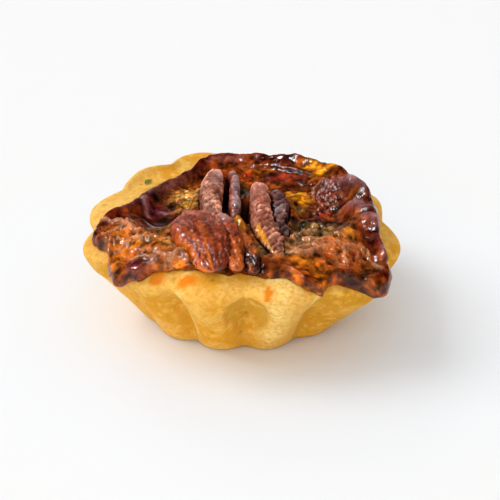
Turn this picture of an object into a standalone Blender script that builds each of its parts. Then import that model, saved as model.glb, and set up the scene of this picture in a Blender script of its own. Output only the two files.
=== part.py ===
"""Mini pecan pie: a fluted pastry cup, a caramel filling that has boiled over its rim, and pecans.

Units are metres, +Z is up, the pie stands on z = 0 with its base centred on the origin, and the
side with the bare rim faces -Y. Angles run anticlockwise from +X, seen from above.
"""

import itertools

import bpy
import numpy as np

MM = 0.001

# Pastry cup: the twelve flutes of the tin, and the wall between the base and the lip
FLUTES = 12
FLUTE_PITCH = 2 * np.pi / FLUTES
FIRST_FLUTE = np.radians(16.5)
FLUTE_TURNS = np.radians([3.0, 0.0, 0.0, 3.0, 1.0, 3.0, 0.0, 0.0, 0.0, 0.0, 3.0, 1.0])
BASE_RADIUS = 20.6 * MM
BASE_FILLET = 0.9 * MM
WALL_SHARES = (0.07, 0.3, 0.55, 0.8, 1.0)
WALL_FLUTE_DEPTHS = np.array([2.0, 3.2, 4.2, 4.6, 4.2]) * MM
VALLEY_SHARES = np.array([0.8, 0.8, 0.8, 0.8, 0.8, 0.7, 0.45, 1.0, 0.9, 1.0, 0.45, 0.7])
VALLEY_SHARPNESS = 0.04
UNEVENNESS = 0.3 * MM
UNEVEN_LENGTH = 12 * MM

# Pastry cup: how far the lip of each flute reaches, how high it stands, and its rounding
LIP_REACH = np.array([30.3, 31.0, 31.2, 33.3, 30.2, 31.8, 32.8, 29.5, 31.8, 31.9, 34.2, 32.7]) * MM
LIP_HEIGHT = np.array([18.1, 18.3, 18.4, 18.6, 19.8, 17.9, 16.2, 15.8, 17.3, 17.3, 15.4, 15.6]) * MM
LIP_NOTCH = 2.6 * MM
NOTCH_SHARPNESS = 0.014
LIP_UNDERCUT = 1.3 * MM
LIP_DROP = 3.2 * MM
LIP_ROUND = 1.3 * MM
LIP_TOP = 1.6 * MM

# Pastry cup: the shelf inside the lip, highest at the front, and the hollow for the filling
SHELF_HEIGHT = 20.4 * MM
SHELF_TILT = 0.9 * MM
SHELF_RADIUS = 23.4 * MM
SHELF_CROWN = 0.6 * MM
HOLLOW_RADIUS = 21.4 * MM
HOLLOW_ROUND = 0.9 * MM
HOLLOW_DEEPER = 2.4 * MM
HOLLOW_TAPERS = np.array([1.6, 3.6, 6.0]) * MM
FLOOR_THICKNESS = 4.2 * MM
FLOOR_ROUND = 1.6 * MM

# Places along the pastry's profile, counted in its key points
LIP_TIP = 6.0
SHELF_EDGE = 10.0
WALL_START = 2.0
PLACE_STEP = 0.02

# Caramel: how far it has run out over the shelf, and how thick its bead is, at angles round the rim
CARAMEL_EDGE = (
    # angle in degrees, run in mm, bead in mm
    (0, 5.6, 1.6),
    (10, 4.8, 1.6),
    (22, 4.1, 1.8),
    (35, 5.6, 2.1),
    (47, 6.3, 2.0),
    (60, 5.7, 1.8),
    (75, 4.9, 1.3),
    (90, 5.3, 1.0),
    (104, 5.9, 0.8),
    (110, 5.0, 0.8),
    (114, 2.8, 0.7),
    (119, 1.2, 0.6),
    (129, 0.6, 0.5),
    (144, 0.4, 0.5),
    (160, 0.3, 0.5),
    (168, 0.4, 0.5),
    (175, 0.7, 0.6),
    (181, 2.5, 0.7),
    (187, 5.2, 0.9),
    (192, 8.0, 1.1),
    (197, 9.5, 1.2),
    (201, 9.1, 1.2),
    (206, 7.5, 1.2),
    (212, 9.3, 1.2),
    (222, 10.3, 1.2),
    (228, 8.7, 1.0),
    (233, 6.1, 1.0),
    (240, 4.3, 0.5),
    (256, 4.0, 0.2),
    (274, 4.1, 0.2),
    (279, 5.1, 0.4),
    (288, 5.7, 0.6),
    (293, 9.0, 0.9),
    (298, 10.6, 1.0),
    (303, 9.2, 1.0),
    (307, 10.0, 1.2),
    (311, 11.9, 1.4),
    (315, 14.3, 1.4),
    (319, 14.8, 1.4),
    (324, 13.7, 1.4),
    (329, 10.4, 1.4),
    (334, 7.8, 1.5),
    (341, 6.2, 1.5),
    (350, 5.5, 1.6),
)
BEAD_INSET = 1.6 * MM
BEAD_WIDTH = 1.4 * MM
SKIN = 0.9 * MM
SKIN_EDGE = 0.5 * MM
POOL_DROP = 0.9 * MM
POOL_RADIUS = 18.0 * MM
LUMP_HEIGHT = 0.45 * MM
LUMP_SIZE = 4.0 * MM

# Pecans, in mm: the middle line from the far end to the near end, half the width, the height over
# that line, the depth under it and the lead of its right edge at both ends, and the grooves as
# (place across from -1 to 1, half width, depth)
PECANS = {
    "pecan_back": {
        "spine": ((-2.0, 17.0, 20.6), (-1.6, 10.5, 21.3), (-1.0, 0.0, 21.4), (0.2, -12.4, 20.2)),
        "half_width": 7.6,
        "rise": 3.5,
        "depth": (3.0, 3.0),
        "slant": (4.6, 11.0),
        "grooves": ((-0.27, 0.06, 2.2), (0.24, 0.1, 2.6)),
    },
    "pecan_front": {
        "spine": ((-7.8, -4.0, 21.8), (-6.4, -10.0, 22.6), (-4.3, -18.0, 22.6), (-2.2, -25.2, 21.8)),
        "half_width": 7.8,
        "rise": 3.2,
        "depth": (3.2, 0.7),
        "slant": (0.0, 0.0),
        "grooves": ((0.2, 0.05, 1.8), (0.55, 0.04, 1.4)),
    },
    "pecan_side": {
        "spine": ((6.9, 12.5, 20.2), (8.4, 7.0, 20.8), (9.0, 1.0, 20.8), (9.4, -4.5, 20.0)),
        "half_width": 2.0,
        "rise": 1.8,
        "depth": (2.0, 2.0),
        "slant": (0.0, 0.0),
        "grooves": ((0.1, 0.3, 0.3),),
    },
}
DEPTH_CHANGE = 1.4
END_FULLNESS = 3.0
END_ROUNDING = 0.45
ARCH_FULLNESS = 2.6
UNDERSIDE_FULLNESS = 4.0
POCKET_END = 1.5

# Clearances: round a pecan in its pocket, under the caramel, and under caramel past the lip
GAP = 0.35 * MM
SHELF_GAP = 0.6 * MM
HANGING_GAP = 1.0 * MM
GAP_CHANGE = 1.5
UPRIGHT_FROM = LIP_TIP + 2.0
UPRIGHT_CHANGE = 1.5

# How finely each solid is divided
ANGLES = 96
CRUST_PLACES = np.array([0, 1, 2, 3, 4, 5, 5.5, 6, 6.5, 7, 8, 9, 10, 11, 12, 13, 14])
HOLLOW_PLACES = np.array([11, 12, 13, 14])
UNDER_RINGS = 7
OVER_RINGS = 10
POOL_RINGS = 8
NUT_RINGS = 15
NUT_TOP = np.array([-1, -0.9, -0.7, -0.48, -0.34, -0.27, -0.2, -0.04, 0.12, 0.2, 0.27, 0.34, 0.55, 0.78, 0.92, 1])
NUT_BOTTOM = np.array([0.8, 0.3, -0.3, -0.8])
RUN_SAMPLES = 161

# Base colour and roughness of each node's material
FINISHES = {
    "crust": ((0.72, 0.44, 0.17), 0.7),
    "filling": ((0.28, 0.06, 0.015), 0.2),
    "pecan_back": ((0.24, 0.08, 0.05), 0.4),
    "pecan_front": ((0.26, 0.07, 0.03), 0.3),
    "pecan_side": ((0.12, 0.06, 0.05), 0.45),
}
SHARP_ANGLE = np.radians(50)


def smooth(share):
    """Eases a share from 0 to 1 in and out."""
    return share * share * (3 - 2 * share)


def noise(points, seed):
    """Smooth random heights from -1 to 1: a hashed value at each corner of a unit lattice, blended
    across its cell."""
    corner = np.floor(points).astype(np.int64)
    share = smooth(points - corner)
    total = np.zeros(points.shape[:-1])
    for step in itertools.product((0, 1), repeat=3):
        x, y, z = np.moveaxis(corner + step, -1, 0)
        key = (x * 73856093 ^ y * 19349663 ^ z * 83492791 ^ seed * 2654435761) & 0xFFFFFFFF
        key = (key ^ (key >> 15)) * 2246822519 & 0xFFFFFFFF
        key = (key ^ (key >> 13)) * 3266489917 & 0xFFFFFFFF
        value = (key ^ (key >> 16)) / 0xFFFFFFFF * 2 - 1
        total += value * np.prod(np.where(step, share, 1 - share), axis=-1)
    return total


def through(keys, places):
    """Points at the given places on the smooth curve through key points (a Catmull-Rom spline).

    keys is (key, ..., axis), and places holds key numbers, whole or between, as (place, ...).
    """
    last = len(keys) - 1
    start = np.clip(np.floor(places).astype(int), 0, last - 1)
    t = (places - start)[..., None]

    def key(number):
        return np.take_along_axis(keys, np.clip(number, 0, last)[..., None], axis=0)

    a, b, c, d = (key(start + step) for step in (-1, 0, 1, 2))
    return b + 0.5 * ((c - a) * t + (2 * a - 5 * b + 4 * c - d) * t**2 + (3 * b - a - 3 * c + d) * t**3)


def around(values, angles):
    """One value for each flute, blended from crest to crest round the pie."""
    place = (angles - FIRST_FLUTE) / FLUTE_PITCH
    before = np.floor(place).astype(int)
    share = smooth(place - before)
    return values[before % FLUTES] * (1 - share) + values[(before + 1) % FLUTES] * share


def shelf_height(angles):
    return SHELF_HEIGHT - SHELF_TILT * np.sin(angles)


def pastry_keys(angles):
    """Key points (radius, height) of the pastry's profile at each angle, from the edge of the base
    up the wall, over the lip, in along the shelf and down to the floor of the hollow. The flutes are
    round, and the valleys between them narrow."""
    swing = np.cos((angles - around(FLUTE_TURNS, angles) - FIRST_FLUTE) * FLUTES / 2)
    widest, narrowest = np.sqrt(1 + VALLEY_SHARPNESS), np.sqrt(VALLEY_SHARPNESS)
    valley = (widest - np.sqrt(swing**2 + VALLEY_SHARPNESS)) / (widest - narrowest)
    valley *= around(VALLEY_SHARES, angles - FLUTE_PITCH / 2)
    rim = around(LIP_REACH, angles) - LIP_NOTCH * (1 - np.sqrt(swing**2 + NOTCH_SHARPNESS))
    wall_top = around(LIP_REACH, angles) - LIP_UNDERCUT
    lip = around(LIP_HEIGHT, angles)
    shelf = shelf_height(angles)
    flat = np.zeros_like(angles)
    keys = [(BASE_RADIUS - BASE_FILLET - WALL_FLUTE_DEPTHS[0] * valley, flat)]
    for share, depth in zip(WALL_SHARES, WALL_FLUTE_DEPTHS):
        crest = BASE_RADIUS + share * (wall_top - BASE_RADIUS)
        keys.append((crest - depth * valley, share * (lip - LIP_DROP)))
    keys += [
        (rim, lip),
        (rim - LIP_ROUND, lip + LIP_TOP),
        ((rim + SHELF_RADIUS) / 2, (lip + shelf) / 2 + SHELF_CROWN),
        (SHELF_RADIUS + flat, shelf),
        (HOLLOW_RADIUS + HOLLOW_ROUND + flat, shelf - HOLLOW_ROUND),
        (HOLLOW_RADIUS + flat, shelf - HOLLOW_DEEPER),
        (HOLLOW_RADIUS - HOLLOW_TAPERS[0] + flat, (shelf + FLOOR_THICKNESS) / 2),
        (HOLLOW_RADIUS - HOLLOW_TAPERS[1] + flat, FLOOR_THICKNESS + FLOOR_ROUND + flat),
        (HOLLOW_RADIUS - HOLLOW_TAPERS[2] + flat, FLOOR_THICKNESS + flat),
    ]
    keys = np.array([np.stack(pair, -1) for pair in keys])
    keys[1:, :, 0] += unevenness(keys, angles)[1:]
    return keys


def unevenness(keys, angles):
    """The small swellings of hand-pressed pastry, from smooth noise in space."""
    return UNEVENNESS * noise(ring_of(keys, angles) / UNEVEN_LENGTH, 1)


def ring_of(profile, angles):
    """Points in space of rings given as (radius, height) at each angle."""
    radius, height = profile[..., 0], profile[..., 1]
    return np.stack([radius * np.cos(angles), radius * np.sin(angles), height], -1)


def pastry_at(angles, places):
    """The pastry's profile (radius, height) at key places, and its outward normal in that plane."""
    keys = pastry_keys(angles)
    tangent = through(keys, places + PLACE_STEP) - through(keys, places - PLACE_STEP)
    normal = np.stack([tangent[..., 1], -tangent[..., 0]], -1)
    return through(keys, places), normal / np.linalg.norm(normal, axis=-1, keepdims=True)


def places_of_runs(angles, runs):
    """Key places that lie the given distances out from the shelf's edge, measured on the pastry."""
    samples = np.linspace(SHELF_EDGE, WALL_START, RUN_SAMPLES)
    points = through(pastry_keys(angles), on_all(samples, angles))
    steps = np.linalg.norm(np.diff(points, axis=0), axis=-1)
    lengths = np.concatenate([np.zeros((1, len(angles))), np.cumsum(steps, axis=0)])
    columns = [np.interp(run, length, samples) for run, length in zip(runs.T, lengths.T)]
    return np.stack(columns, axis=1)


def on_all(places, angles):
    """The same places at every angle."""
    return np.broadcast_to(places[:, None], (len(places), len(angles)))


def edge_values(angles):
    """The caramel's run over the shelf and its bead at each angle, in metres."""
    degrees, run, bead = np.array(CARAMEL_EDGE).T
    turn = np.degrees(angles) % 360
    return [np.interp(turn, degrees, values, period=360) * MM for values in (run, bead)]


def gap_over(places):
    """The caramel's clearance from the pastry, wider where it hangs over the lip."""
    return np.interp(places, [LIP_TIP, LIP_TIP + GAP_CHANGE], [HANGING_GAP, SHELF_GAP])


def bead_over(inset, bead):
    """How far the bead stands up at a distance in from the caramel's edge: a smooth hump."""
    return bead * np.exp(-(((inset - BEAD_INSET) / BEAD_WIDTH) ** 2))


def caramel_underside(angles, run):
    """Rings a gap away from the pastry, from the floor of the hollow out to the caramel's edge."""
    runs = run * np.linspace(1, 0, UNDER_RINGS)[:, None]
    places = np.concatenate([places_of_runs(angles, runs), on_all(HOLLOW_PLACES, angles)])
    surface, normal = pastry_at(angles, places)
    return (surface + normal * gap_over(places)[..., None])[::-1]


def caramel_over_shelf(angles, run, bead):
    """Rings of the skin and bead that lie over the shelf, from the caramel's edge inwards. They are
    lifted square to the pastry at the lip, and straight up near the hollow."""
    runs = run * np.linspace(1, 0, OVER_RINGS)[:, None]
    places = places_of_runs(angles, runs)
    surface, normal = pastry_at(angles, places)
    inset = run - runs
    skin = SKIN_EDGE + (SKIN - SKIN_EDGE) * np.minimum(inset / BEAD_INSET, 1)
    lift = gap_over(places) + skin + bead_over(inset, bead)
    upright = np.clip((places - UPRIGHT_FROM) / UPRIGHT_CHANGE, 0, 1)[..., None]
    direction = normal * (1 - upright) + np.array([0, 1]) * upright
    direction /= np.linalg.norm(direction, axis=-1, keepdims=True)
    return surface + direction * lift[..., None]


def caramel_pool(angles, run, bead, rim):
    """Rings from the skin's inner edge down to the level pool and in towards the middle."""
    shares = np.linspace(1, 0, POOL_RINGS + 2)[1:-1, None]
    radius = rim[:, 0] * shares
    fall = smooth(np.clip((rim[:, 0] - radius) / (rim[:, 0] - POOL_RADIUS), 0, 1))
    skin_height = rim[:, 1] - bead_over(run, bead)
    height = skin_height * (1 - fall) + (shelf_height(angles) - POOL_DROP) * fall
    height += bead_over(run + rim[:, 0] - radius, bead)
    return np.stack([radius, height], -1)


def make_filling(angles):
    """The caramel filling, which fills the hollow and lies over the shelf out to its uneven edge."""
    run, bead = edge_values(angles)
    under = ring_of(caramel_underside(angles, run), angles)
    over = caramel_over_shelf(angles, run, bead)
    pool = caramel_pool(angles, run, bead, over[-1])
    top = ring_of(np.concatenate([over, pool]), angles)
    inset = np.linalg.norm(top - top[0], axis=-1)
    top[..., 2] += noise(top / LUMP_SIZE, 3) * LUMP_HEIGHT * smooth(np.minimum(inset / BEAD_INSET, 1))
    poles = np.array([[0, 0, FLOOR_THICKNESS + SHELF_GAP], [0, 0, SHELF_HEIGHT - POOL_DROP]])
    return solid("filling", np.concatenate([under, top]), poles)


def make_crust(angles):
    """The pastry cup, from the middle of its base round to the middle of its floor."""
    profile = through(pastry_keys(angles), on_all(CRUST_PLACES, angles))
    profile[0, :, 1] = 0
    poles = np.array([[0, 0, 0], [0, 0, FLOOR_THICKNESS]])
    return solid("crust", ring_of(profile, angles), poles)


def nut_frame(spine, grow):
    """The middle line of a pecan with its forward and sideways directions, and how full its section
    is at each ring: none at the ends, whole along most of its length."""
    keys = np.array(spine) * MM
    ends = keys[[0, -1]] - keys[[1, -2]]
    keys[[0, -1]] += ends / np.linalg.norm(ends, axis=1, keepdims=True) * grow
    share = (1 - np.cos(np.linspace(0, np.pi, NUT_RINGS + 2)[1:-1])) / 2
    middle = through(keys, share * (len(keys) - 1))
    ahead = np.gradient(middle, axis=0) * np.array([1, 1, 0])
    ahead /= np.linalg.norm(ahead, axis=1, keepdims=True)
    side = np.cross(ahead, np.array([0, 0, -1]))
    swell = (1 - np.abs(2 * share - 1) ** END_FULLNESS) ** END_ROUNDING
    return keys, share, middle, ahead, side, swell


def make_pecan(name, spine, half_width, rise, depth, slant, grooves, grow=0.0):
    """One pecan piece: arched sections carried along its middle line, with grooves pressed into the
    top. grow thickens it all round and leaves the grooves out, for the pocket that it lies in."""
    keys, share, middle, ahead, side, swell = nut_frame(spine, grow * POCKET_END)
    arch = np.sqrt(1 - np.abs(NUT_TOP) ** ARCH_FULLNESS)
    top = np.outer((rise * MM + grow) * swell, arch)
    if not grow:
        for place, width, deep in grooves:
            cut = np.exp(-(((NUT_TOP - place) / width) ** 2))
            top -= np.outer(deep * MM * swell, cut * arch)
    below = depth[0] + (depth[1] - depth[0]) * np.minimum(share * DEPTH_CHANGE, 1)
    flatness = np.sqrt(1 - np.abs(NUT_BOTTOM) ** UNDERSIDE_FULLNESS)
    low = -np.outer((below * MM + grow) * swell, flatness)
    lead = slant[0] + (slant[1] - slant[0]) * share
    across = np.concatenate([NUT_TOP, NUT_BOTTOM])
    height = np.concatenate([top, low], axis=1)
    rings = (
        middle[:, None]
        + side[:, None] * np.outer((half_width * MM + grow) * swell, across)[..., None]
        + ahead[:, None] * np.outer(lead * MM * swell, across)[..., None]
        + np.array([0, 0, 1]) * height[..., None]
    )
    return solid(name, rings, keys[[0, -1]])


def solid(name, rings, poles):
    """A closed mesh from rings of points, with a pole before the first ring and after the last."""
    count, width = rings.shape[:2]
    points = np.concatenate([rings.reshape(-1, 3), poles])
    row = np.arange(width)
    after = (row + 1) % width
    faces = []
    for ring in range(count - 1):
        low, high = ring * width, (ring + 1) * width
        faces += np.stack([low + row, low + after, high + after, high + row], 1).tolist()
    start, end, last = count * width, count * width + 1, (count - 1) * width
    faces += np.stack([start + 0 * row, after, row], 1).tolist()
    faces += np.stack([end + 0 * row, last + row, last + after], 1).tolist()
    mesh = bpy.data.meshes.new(name)
    mesh.from_pydata(points.tolist(), [], faces)
    if signed_volume(points, faces) < 0:
        mesh.flip_normals()
    mesh.shade_smooth()
    mesh.set_sharp_from_angle(angle=SHARP_ANGLE)
    mesh.materials.append(material(name))
    obj = bpy.data.objects.new(name, mesh)
    bpy.context.scene.collection.objects.link(obj)
    return obj


def signed_volume(points, faces):
    """Six times the volume inside the faces, negative where they point inwards."""
    corners = [points[[face[0], face[i], face[i + 1]]] for face in faces for i in range(1, len(face) - 1)]
    return np.linalg.det(np.array(corners)).sum()


def material(name):
    colour, roughness = FINISHES[name]
    made = bpy.data.materials.new(name)
    made.use_nodes = True
    shader = made.node_tree.nodes["Principled BSDF"]
    shader.inputs["Base Color"].default_value = (*colour, 1)
    shader.inputs["Roughness"].default_value = roughness
    return made


def cut_pocket(obj, cutter):
    """Takes the cutter's shape out of obj and leaves the cutter out of the render."""
    pocket = obj.modifiers.new(cutter.name, "BOOLEAN")
    pocket.operation = "DIFFERENCE"
    pocket.object = cutter
    cutter.hide_render = True
    cutter.display_type = "WIRE"


def main():
    for old in list(bpy.data.objects):
        bpy.data.objects.remove(old)
    angles = np.linspace(0, 2 * np.pi, ANGLES, endpoint=False)
    make_crust(angles)
    filling = make_filling(angles)
    pecans = {name: make_pecan(name, **sizes) for name, sizes in PECANS.items()}
    for name, sizes in PECANS.items():
        cutter = make_pecan(name, **sizes, grow=GAP)
        cutter.name = "pocket_of_" + name
        cut_pocket(filling, cutter)
        if name == "pecan_front":
            cut_pocket(pecans["pecan_back"], cutter)


main()
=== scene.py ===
import itertools

import bpy
import numpy as np
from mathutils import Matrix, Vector


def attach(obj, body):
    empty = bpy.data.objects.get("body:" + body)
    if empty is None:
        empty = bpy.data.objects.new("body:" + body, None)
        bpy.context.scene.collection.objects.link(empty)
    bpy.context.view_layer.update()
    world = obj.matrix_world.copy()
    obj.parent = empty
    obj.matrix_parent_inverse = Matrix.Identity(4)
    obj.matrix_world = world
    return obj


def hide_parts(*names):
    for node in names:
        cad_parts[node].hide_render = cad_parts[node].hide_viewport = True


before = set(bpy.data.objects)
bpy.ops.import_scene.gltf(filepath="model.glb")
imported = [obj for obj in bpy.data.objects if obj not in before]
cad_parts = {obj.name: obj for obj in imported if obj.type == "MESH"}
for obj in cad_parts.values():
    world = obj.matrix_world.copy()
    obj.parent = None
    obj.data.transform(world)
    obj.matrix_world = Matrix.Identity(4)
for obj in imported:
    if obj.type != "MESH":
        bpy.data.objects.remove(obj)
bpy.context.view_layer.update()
MM = 0.001
print("nodes:", ", ".join(sorted(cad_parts)))

# %% [markdown]
# # A mini pecan pie
# The pie is three foods in one bite: a dry golden pastry cup, a caramel that boiled over the cup's
# rim and set hard, and pecan halves that lie half sunk in it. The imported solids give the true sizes.
# Here each of them is made again as a much finer surface, from the same named sizes, so that there is
# room for the small relief that makes food look like food: wrinkles, bubbles, ribs and pores.

# %% [markdown]
# ## Random numbers that never change
# Food is uneven, so every surface needs smooth random heights. They could come from a texture, but a
# hash of the lattice corners gives the same numbers on every run, and it can shape a mesh as well as
# colour it. Two kinds are enough: rolling noise for dents, and cells for bubbles and wrinkles.


# %% Rolling noise and cells
EVEN_ROUGHNESS = 1.5
CELL_SCATTER = 0.45


def held(value):
    """The value, held between 0 and 1."""
    return np.clip(value, 0, 1)


def bell(away, wide, power=2):
    """One in the middle and fading out to both sides: e^-(away / wide)^power."""
    return np.exp(-((away / wide) ** power))


def smooth(share):
    """Eases a share from 0 to 1 in and out: 3 s^2 - 2 s^3."""
    return share * share * (3 - 2 * share)


def hashed(corner, seed):
    """A fixed random number from -1 to 1 for each whole-number corner of a lattice."""
    x, y, z = np.moveaxis(corner, -1, 0)
    key = (x * 73856093 ^ y * 19349663 ^ z * 83492791 ^ seed * 2654435761) & 0xFFFFFFFF
    key = (key ^ (key >> 15)) * 2246822519 & 0xFFFFFFFF
    key = (key ^ (key >> 13)) * 3266489917 & 0xFFFFFFFF
    return (key ^ (key >> 16)) / 0xFFFFFFFF * 2 - 1


def noise(points, seed):
    """Rolling heights from -1 to 1: the hashed values at a cell's eight corners, each weighted by the
    product of its eased nearness along the three axes."""
    corner = np.floor(points).astype(np.int64)
    share = smooth(points - corner)
    total = np.zeros(points.shape[:-1])
    for step in itertools.product((0, 1), repeat=3):
        total += hashed(corner + step, seed) * np.prod(np.where(step, share, 1 - share), axis=-1)
    return total


def rough(points, seed, octaves=4):
    """Noise added to itself at half the size and half the height, octaves times, and divided by 1.5
    to stay near the range of one noise."""
    total = sum(noise(points * 2.0**k, seed + k) / 2**k for k in range(octaves))
    return total / EVEN_ROUGHNESS


def cells(points, seed):
    """Distances to the nearest and the second nearest of one random point in each lattice cell, and
    a random number from -1 to 1 that belongs to the nearest one."""
    home = np.floor(points).astype(np.int64)
    nearest = np.full(points.shape[:-1], 9.0)
    second = nearest.copy()
    owner = np.zeros_like(nearest)
    for step in itertools.product((-1, 0, 1), repeat=3):
        corner = home + step
        scattered = np.stack([hashed(corner, seed + k) for k in range(3)], -1)
        centre = corner + 0.5 + CELL_SCATTER * scattered
        distance = np.linalg.norm(points - centre, axis=-1)
        closer = distance < nearest
        second = np.where(closer, nearest, np.minimum(second, distance))
        owner = np.where(closer, hashed(corner, seed + 3), owner)
        nearest = np.minimum(nearest, distance)
    return nearest, second, owner


# %% [markdown]
# ## Spots and lines
# The caramel isn't the same all over. It pooled in one place, foamed in another and wrinkled in a
# third. Each of those places is a soft spot in plan: full in its middle and fading out. Folds of the
# skin follow drawn lines, so a second helper gives the distance to a line through named points.


# %% Spots, lines and blending
def spot(points, x, y, wide, deep=None, turn=0.0):
    """A soft oval in plan, in mm: e^-(u^2 + v^2), u and v being the distances along the turned axes
    over the oval's half sizes."""
    deep = wide if deep is None else deep
    turn = np.radians(turn)
    dx, dy = points[..., 0] / MM - x, points[..., 1] / MM - y
    u = (dx * np.cos(turn) + dy * np.sin(turn)) / wide
    v = (dy * np.cos(turn) - dx * np.sin(turn)) / deep
    return np.exp(-(u**2 + v**2))


def spots(points, places):
    """The strongest of several spots at each point."""
    return np.max([spot(points, *place) for place in places], axis=0)


def from_line(points, line):
    """Distance in plan, in mm, to a line through the given points."""
    flat = points[..., :2] / MM
    best = np.full(flat.shape[:-1], 99.0)
    for start, end in zip(np.array(line[:-1], float), np.array(line[1:], float)):
        along = end - start
        share = held(((flat - start) @ along) / (along @ along))
        best = np.minimum(best, np.linalg.norm(flat - start - share[..., None] * along, axis=-1))
    return best


def all_over(points, colour):
    """The same colour at every point."""
    return np.broadcast_to(np.array(colour), points.shape).copy()


def mix(old, new, share):
    """A blend of two colours, or of two sets of them, by a share for each point."""
    return old + (np.array(new) - old) * held(share)[..., None]


# %% [markdown]
# ## The pastry's form
# A tartlet tin has twelve flutes. Its profile is one curve from the edge of the base, up the wall,
# over the lip, in along the shelf and down into the hollow, and that curve is carried round the pie
# while the flutes push it in and out. A curve through named key points is easier to fit to a real
# pie than stacked rings, because each number is one thing that can be measured.

# %% The pastry's sizes
FLUTES = 12
FLUTE_PITCH = 2 * np.pi / FLUTES
FIRST_FLUTE = np.radians(16.5)
FLUTE_TURNS = np.radians([3.0, 0.0, 0.0, 3.0, 1.0, 3.0, 0.0, 0.0, 0.0, 0.0, 3.0, 1.0])
BASE_RADIUS = 20.6 * MM
BASE_FILLET = 0.9 * MM
WALL_SHARES = (0.07, 0.3, 0.55, 0.8, 1.0)
WALL_FLUTE_DEPTHS = np.array([2.0, 3.2, 4.2, 4.6, 4.2]) * MM
VALLEY_SHARES = np.array([0.8, 0.8, 0.8, 0.8, 0.8, 0.7, 0.45, 1.0, 0.9, 1.0, 0.45, 0.7])
VALLEY_SHARPNESS = 0.04
UNEVENNESS = 0.3 * MM
UNEVEN_LENGTH = 12 * MM
LIP_REACH = np.array([30.3, 31.0, 31.2, 33.3, 30.2, 31.8, 32.8, 29.5, 31.8, 31.9, 34.2, 32.7]) * MM
LIP_HEIGHT = np.array([18.1, 18.3, 18.4, 18.6, 19.8, 17.9, 16.2, 15.8, 17.3, 17.3, 15.4, 15.6]) * MM
LIP_NOTCH = 2.6 * MM
NOTCH_SHARPNESS = 0.014
LIP_UNDERCUT = 1.3 * MM
LIP_DROP = 3.2 * MM
LIP_ROUND = 1.3 * MM
LIP_TOP = 1.6 * MM
SHELF_HEIGHT = 20.4 * MM
SHELF_TILT = 0.9 * MM
SHELF_RADIUS = 23.4 * MM
SHELF_CROWN = 0.6 * MM
HOLLOW_RADIUS = 21.4 * MM
HOLLOW_ROUND = 0.9 * MM
HOLLOW_DEEPER = 2.4 * MM
HOLLOW_TAPERS = np.array([1.6, 3.6, 6.0]) * MM
FLOOR_THICKNESS = 4.2 * MM
FLOOR_ROUND = 1.6 * MM
LIP_TIP = 6.0
SHELF_EDGE = 10.0
WALL_START = 2.0
print("pie across the lips: %.1f mm" % (2 * LIP_REACH.max() / MM))


# %% [markdown]
# Wall, lip and shelf flow into each other without corners. Straight lines between key points would
# show as rings, so a Catmull-Rom spline joins them. It passes through every key point, which keeps
# the sizes above true.


# %% The pastry's curve
def through(keys, places):
    """Points at the given places on the smooth curve through key points (a Catmull-Rom spline):
    between keys b and c, with a before and d after, it is b + ((c - a) t + (2a - 5b + 4c - d) t^2
    + (3b - a - 3c + d) t^3) / 2. keys is (key, ..., axis), and places holds key numbers, whole or
    between, as (place, ...)."""
    last = len(keys) - 1
    start = np.clip(np.floor(places).astype(int), 0, last - 1)
    t = (places - start)[..., None]

    def key(number):
        return np.take_along_axis(keys, np.clip(number, 0, last)[..., None], axis=0)

    a, b, c, d = (key(start + step) for step in (-1, 0, 1, 2))
    square, cube = 2 * a - 5 * b + 4 * c - d, 3 * b - a - 3 * c + d
    return b + 0.5 * ((c - a) * t + square * t**2 + cube * t**3)


# %% [markdown]
# No two flutes of a real pie are quite alike, so their reach and height are given flute by flute.
# Going round the pie, each value eases into the next, which leaves no step between two flutes.


# %% Flute by flute
def around(values, angles):
    """One value for each flute, blended from crest to crest round the pie."""
    place = (angles - FIRST_FLUTE) / FLUTE_PITCH
    before = np.floor(place).astype(int)
    share = smooth(place - before)
    return values[before % FLUTES] * (1 - share) + values[(before + 1) % FLUTES] * share


def shelf_height(angles):
    """The shelf is a little higher at the front: height less tilt times the sine of the angle."""
    return SHELF_HEIGHT - SHELF_TILT * np.sin(angles)


def ring_of(profile, angles):
    """Points in space of rings given as (radius, height) at each angle."""
    radius, height = profile[..., 0], profile[..., 1]
    return np.stack([radius * np.cos(angles), radius * np.sin(angles), height], -1)


def flute_swing(angles):
    """Each flute swings as the cosine of half its count times the angle, turned a little by a listed
    amount.
    """
    return np.cos((angles - around(FLUTE_TURNS, angles) - FIRST_FLUTE) * FLUTES / 2)


# %% [markdown]
# The key points stand on the outside of the cup from the base to the lip, and then run in over the
# shelf and down into the hollow. The wall swings in and out with the flutes, and the lip a little.


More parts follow.
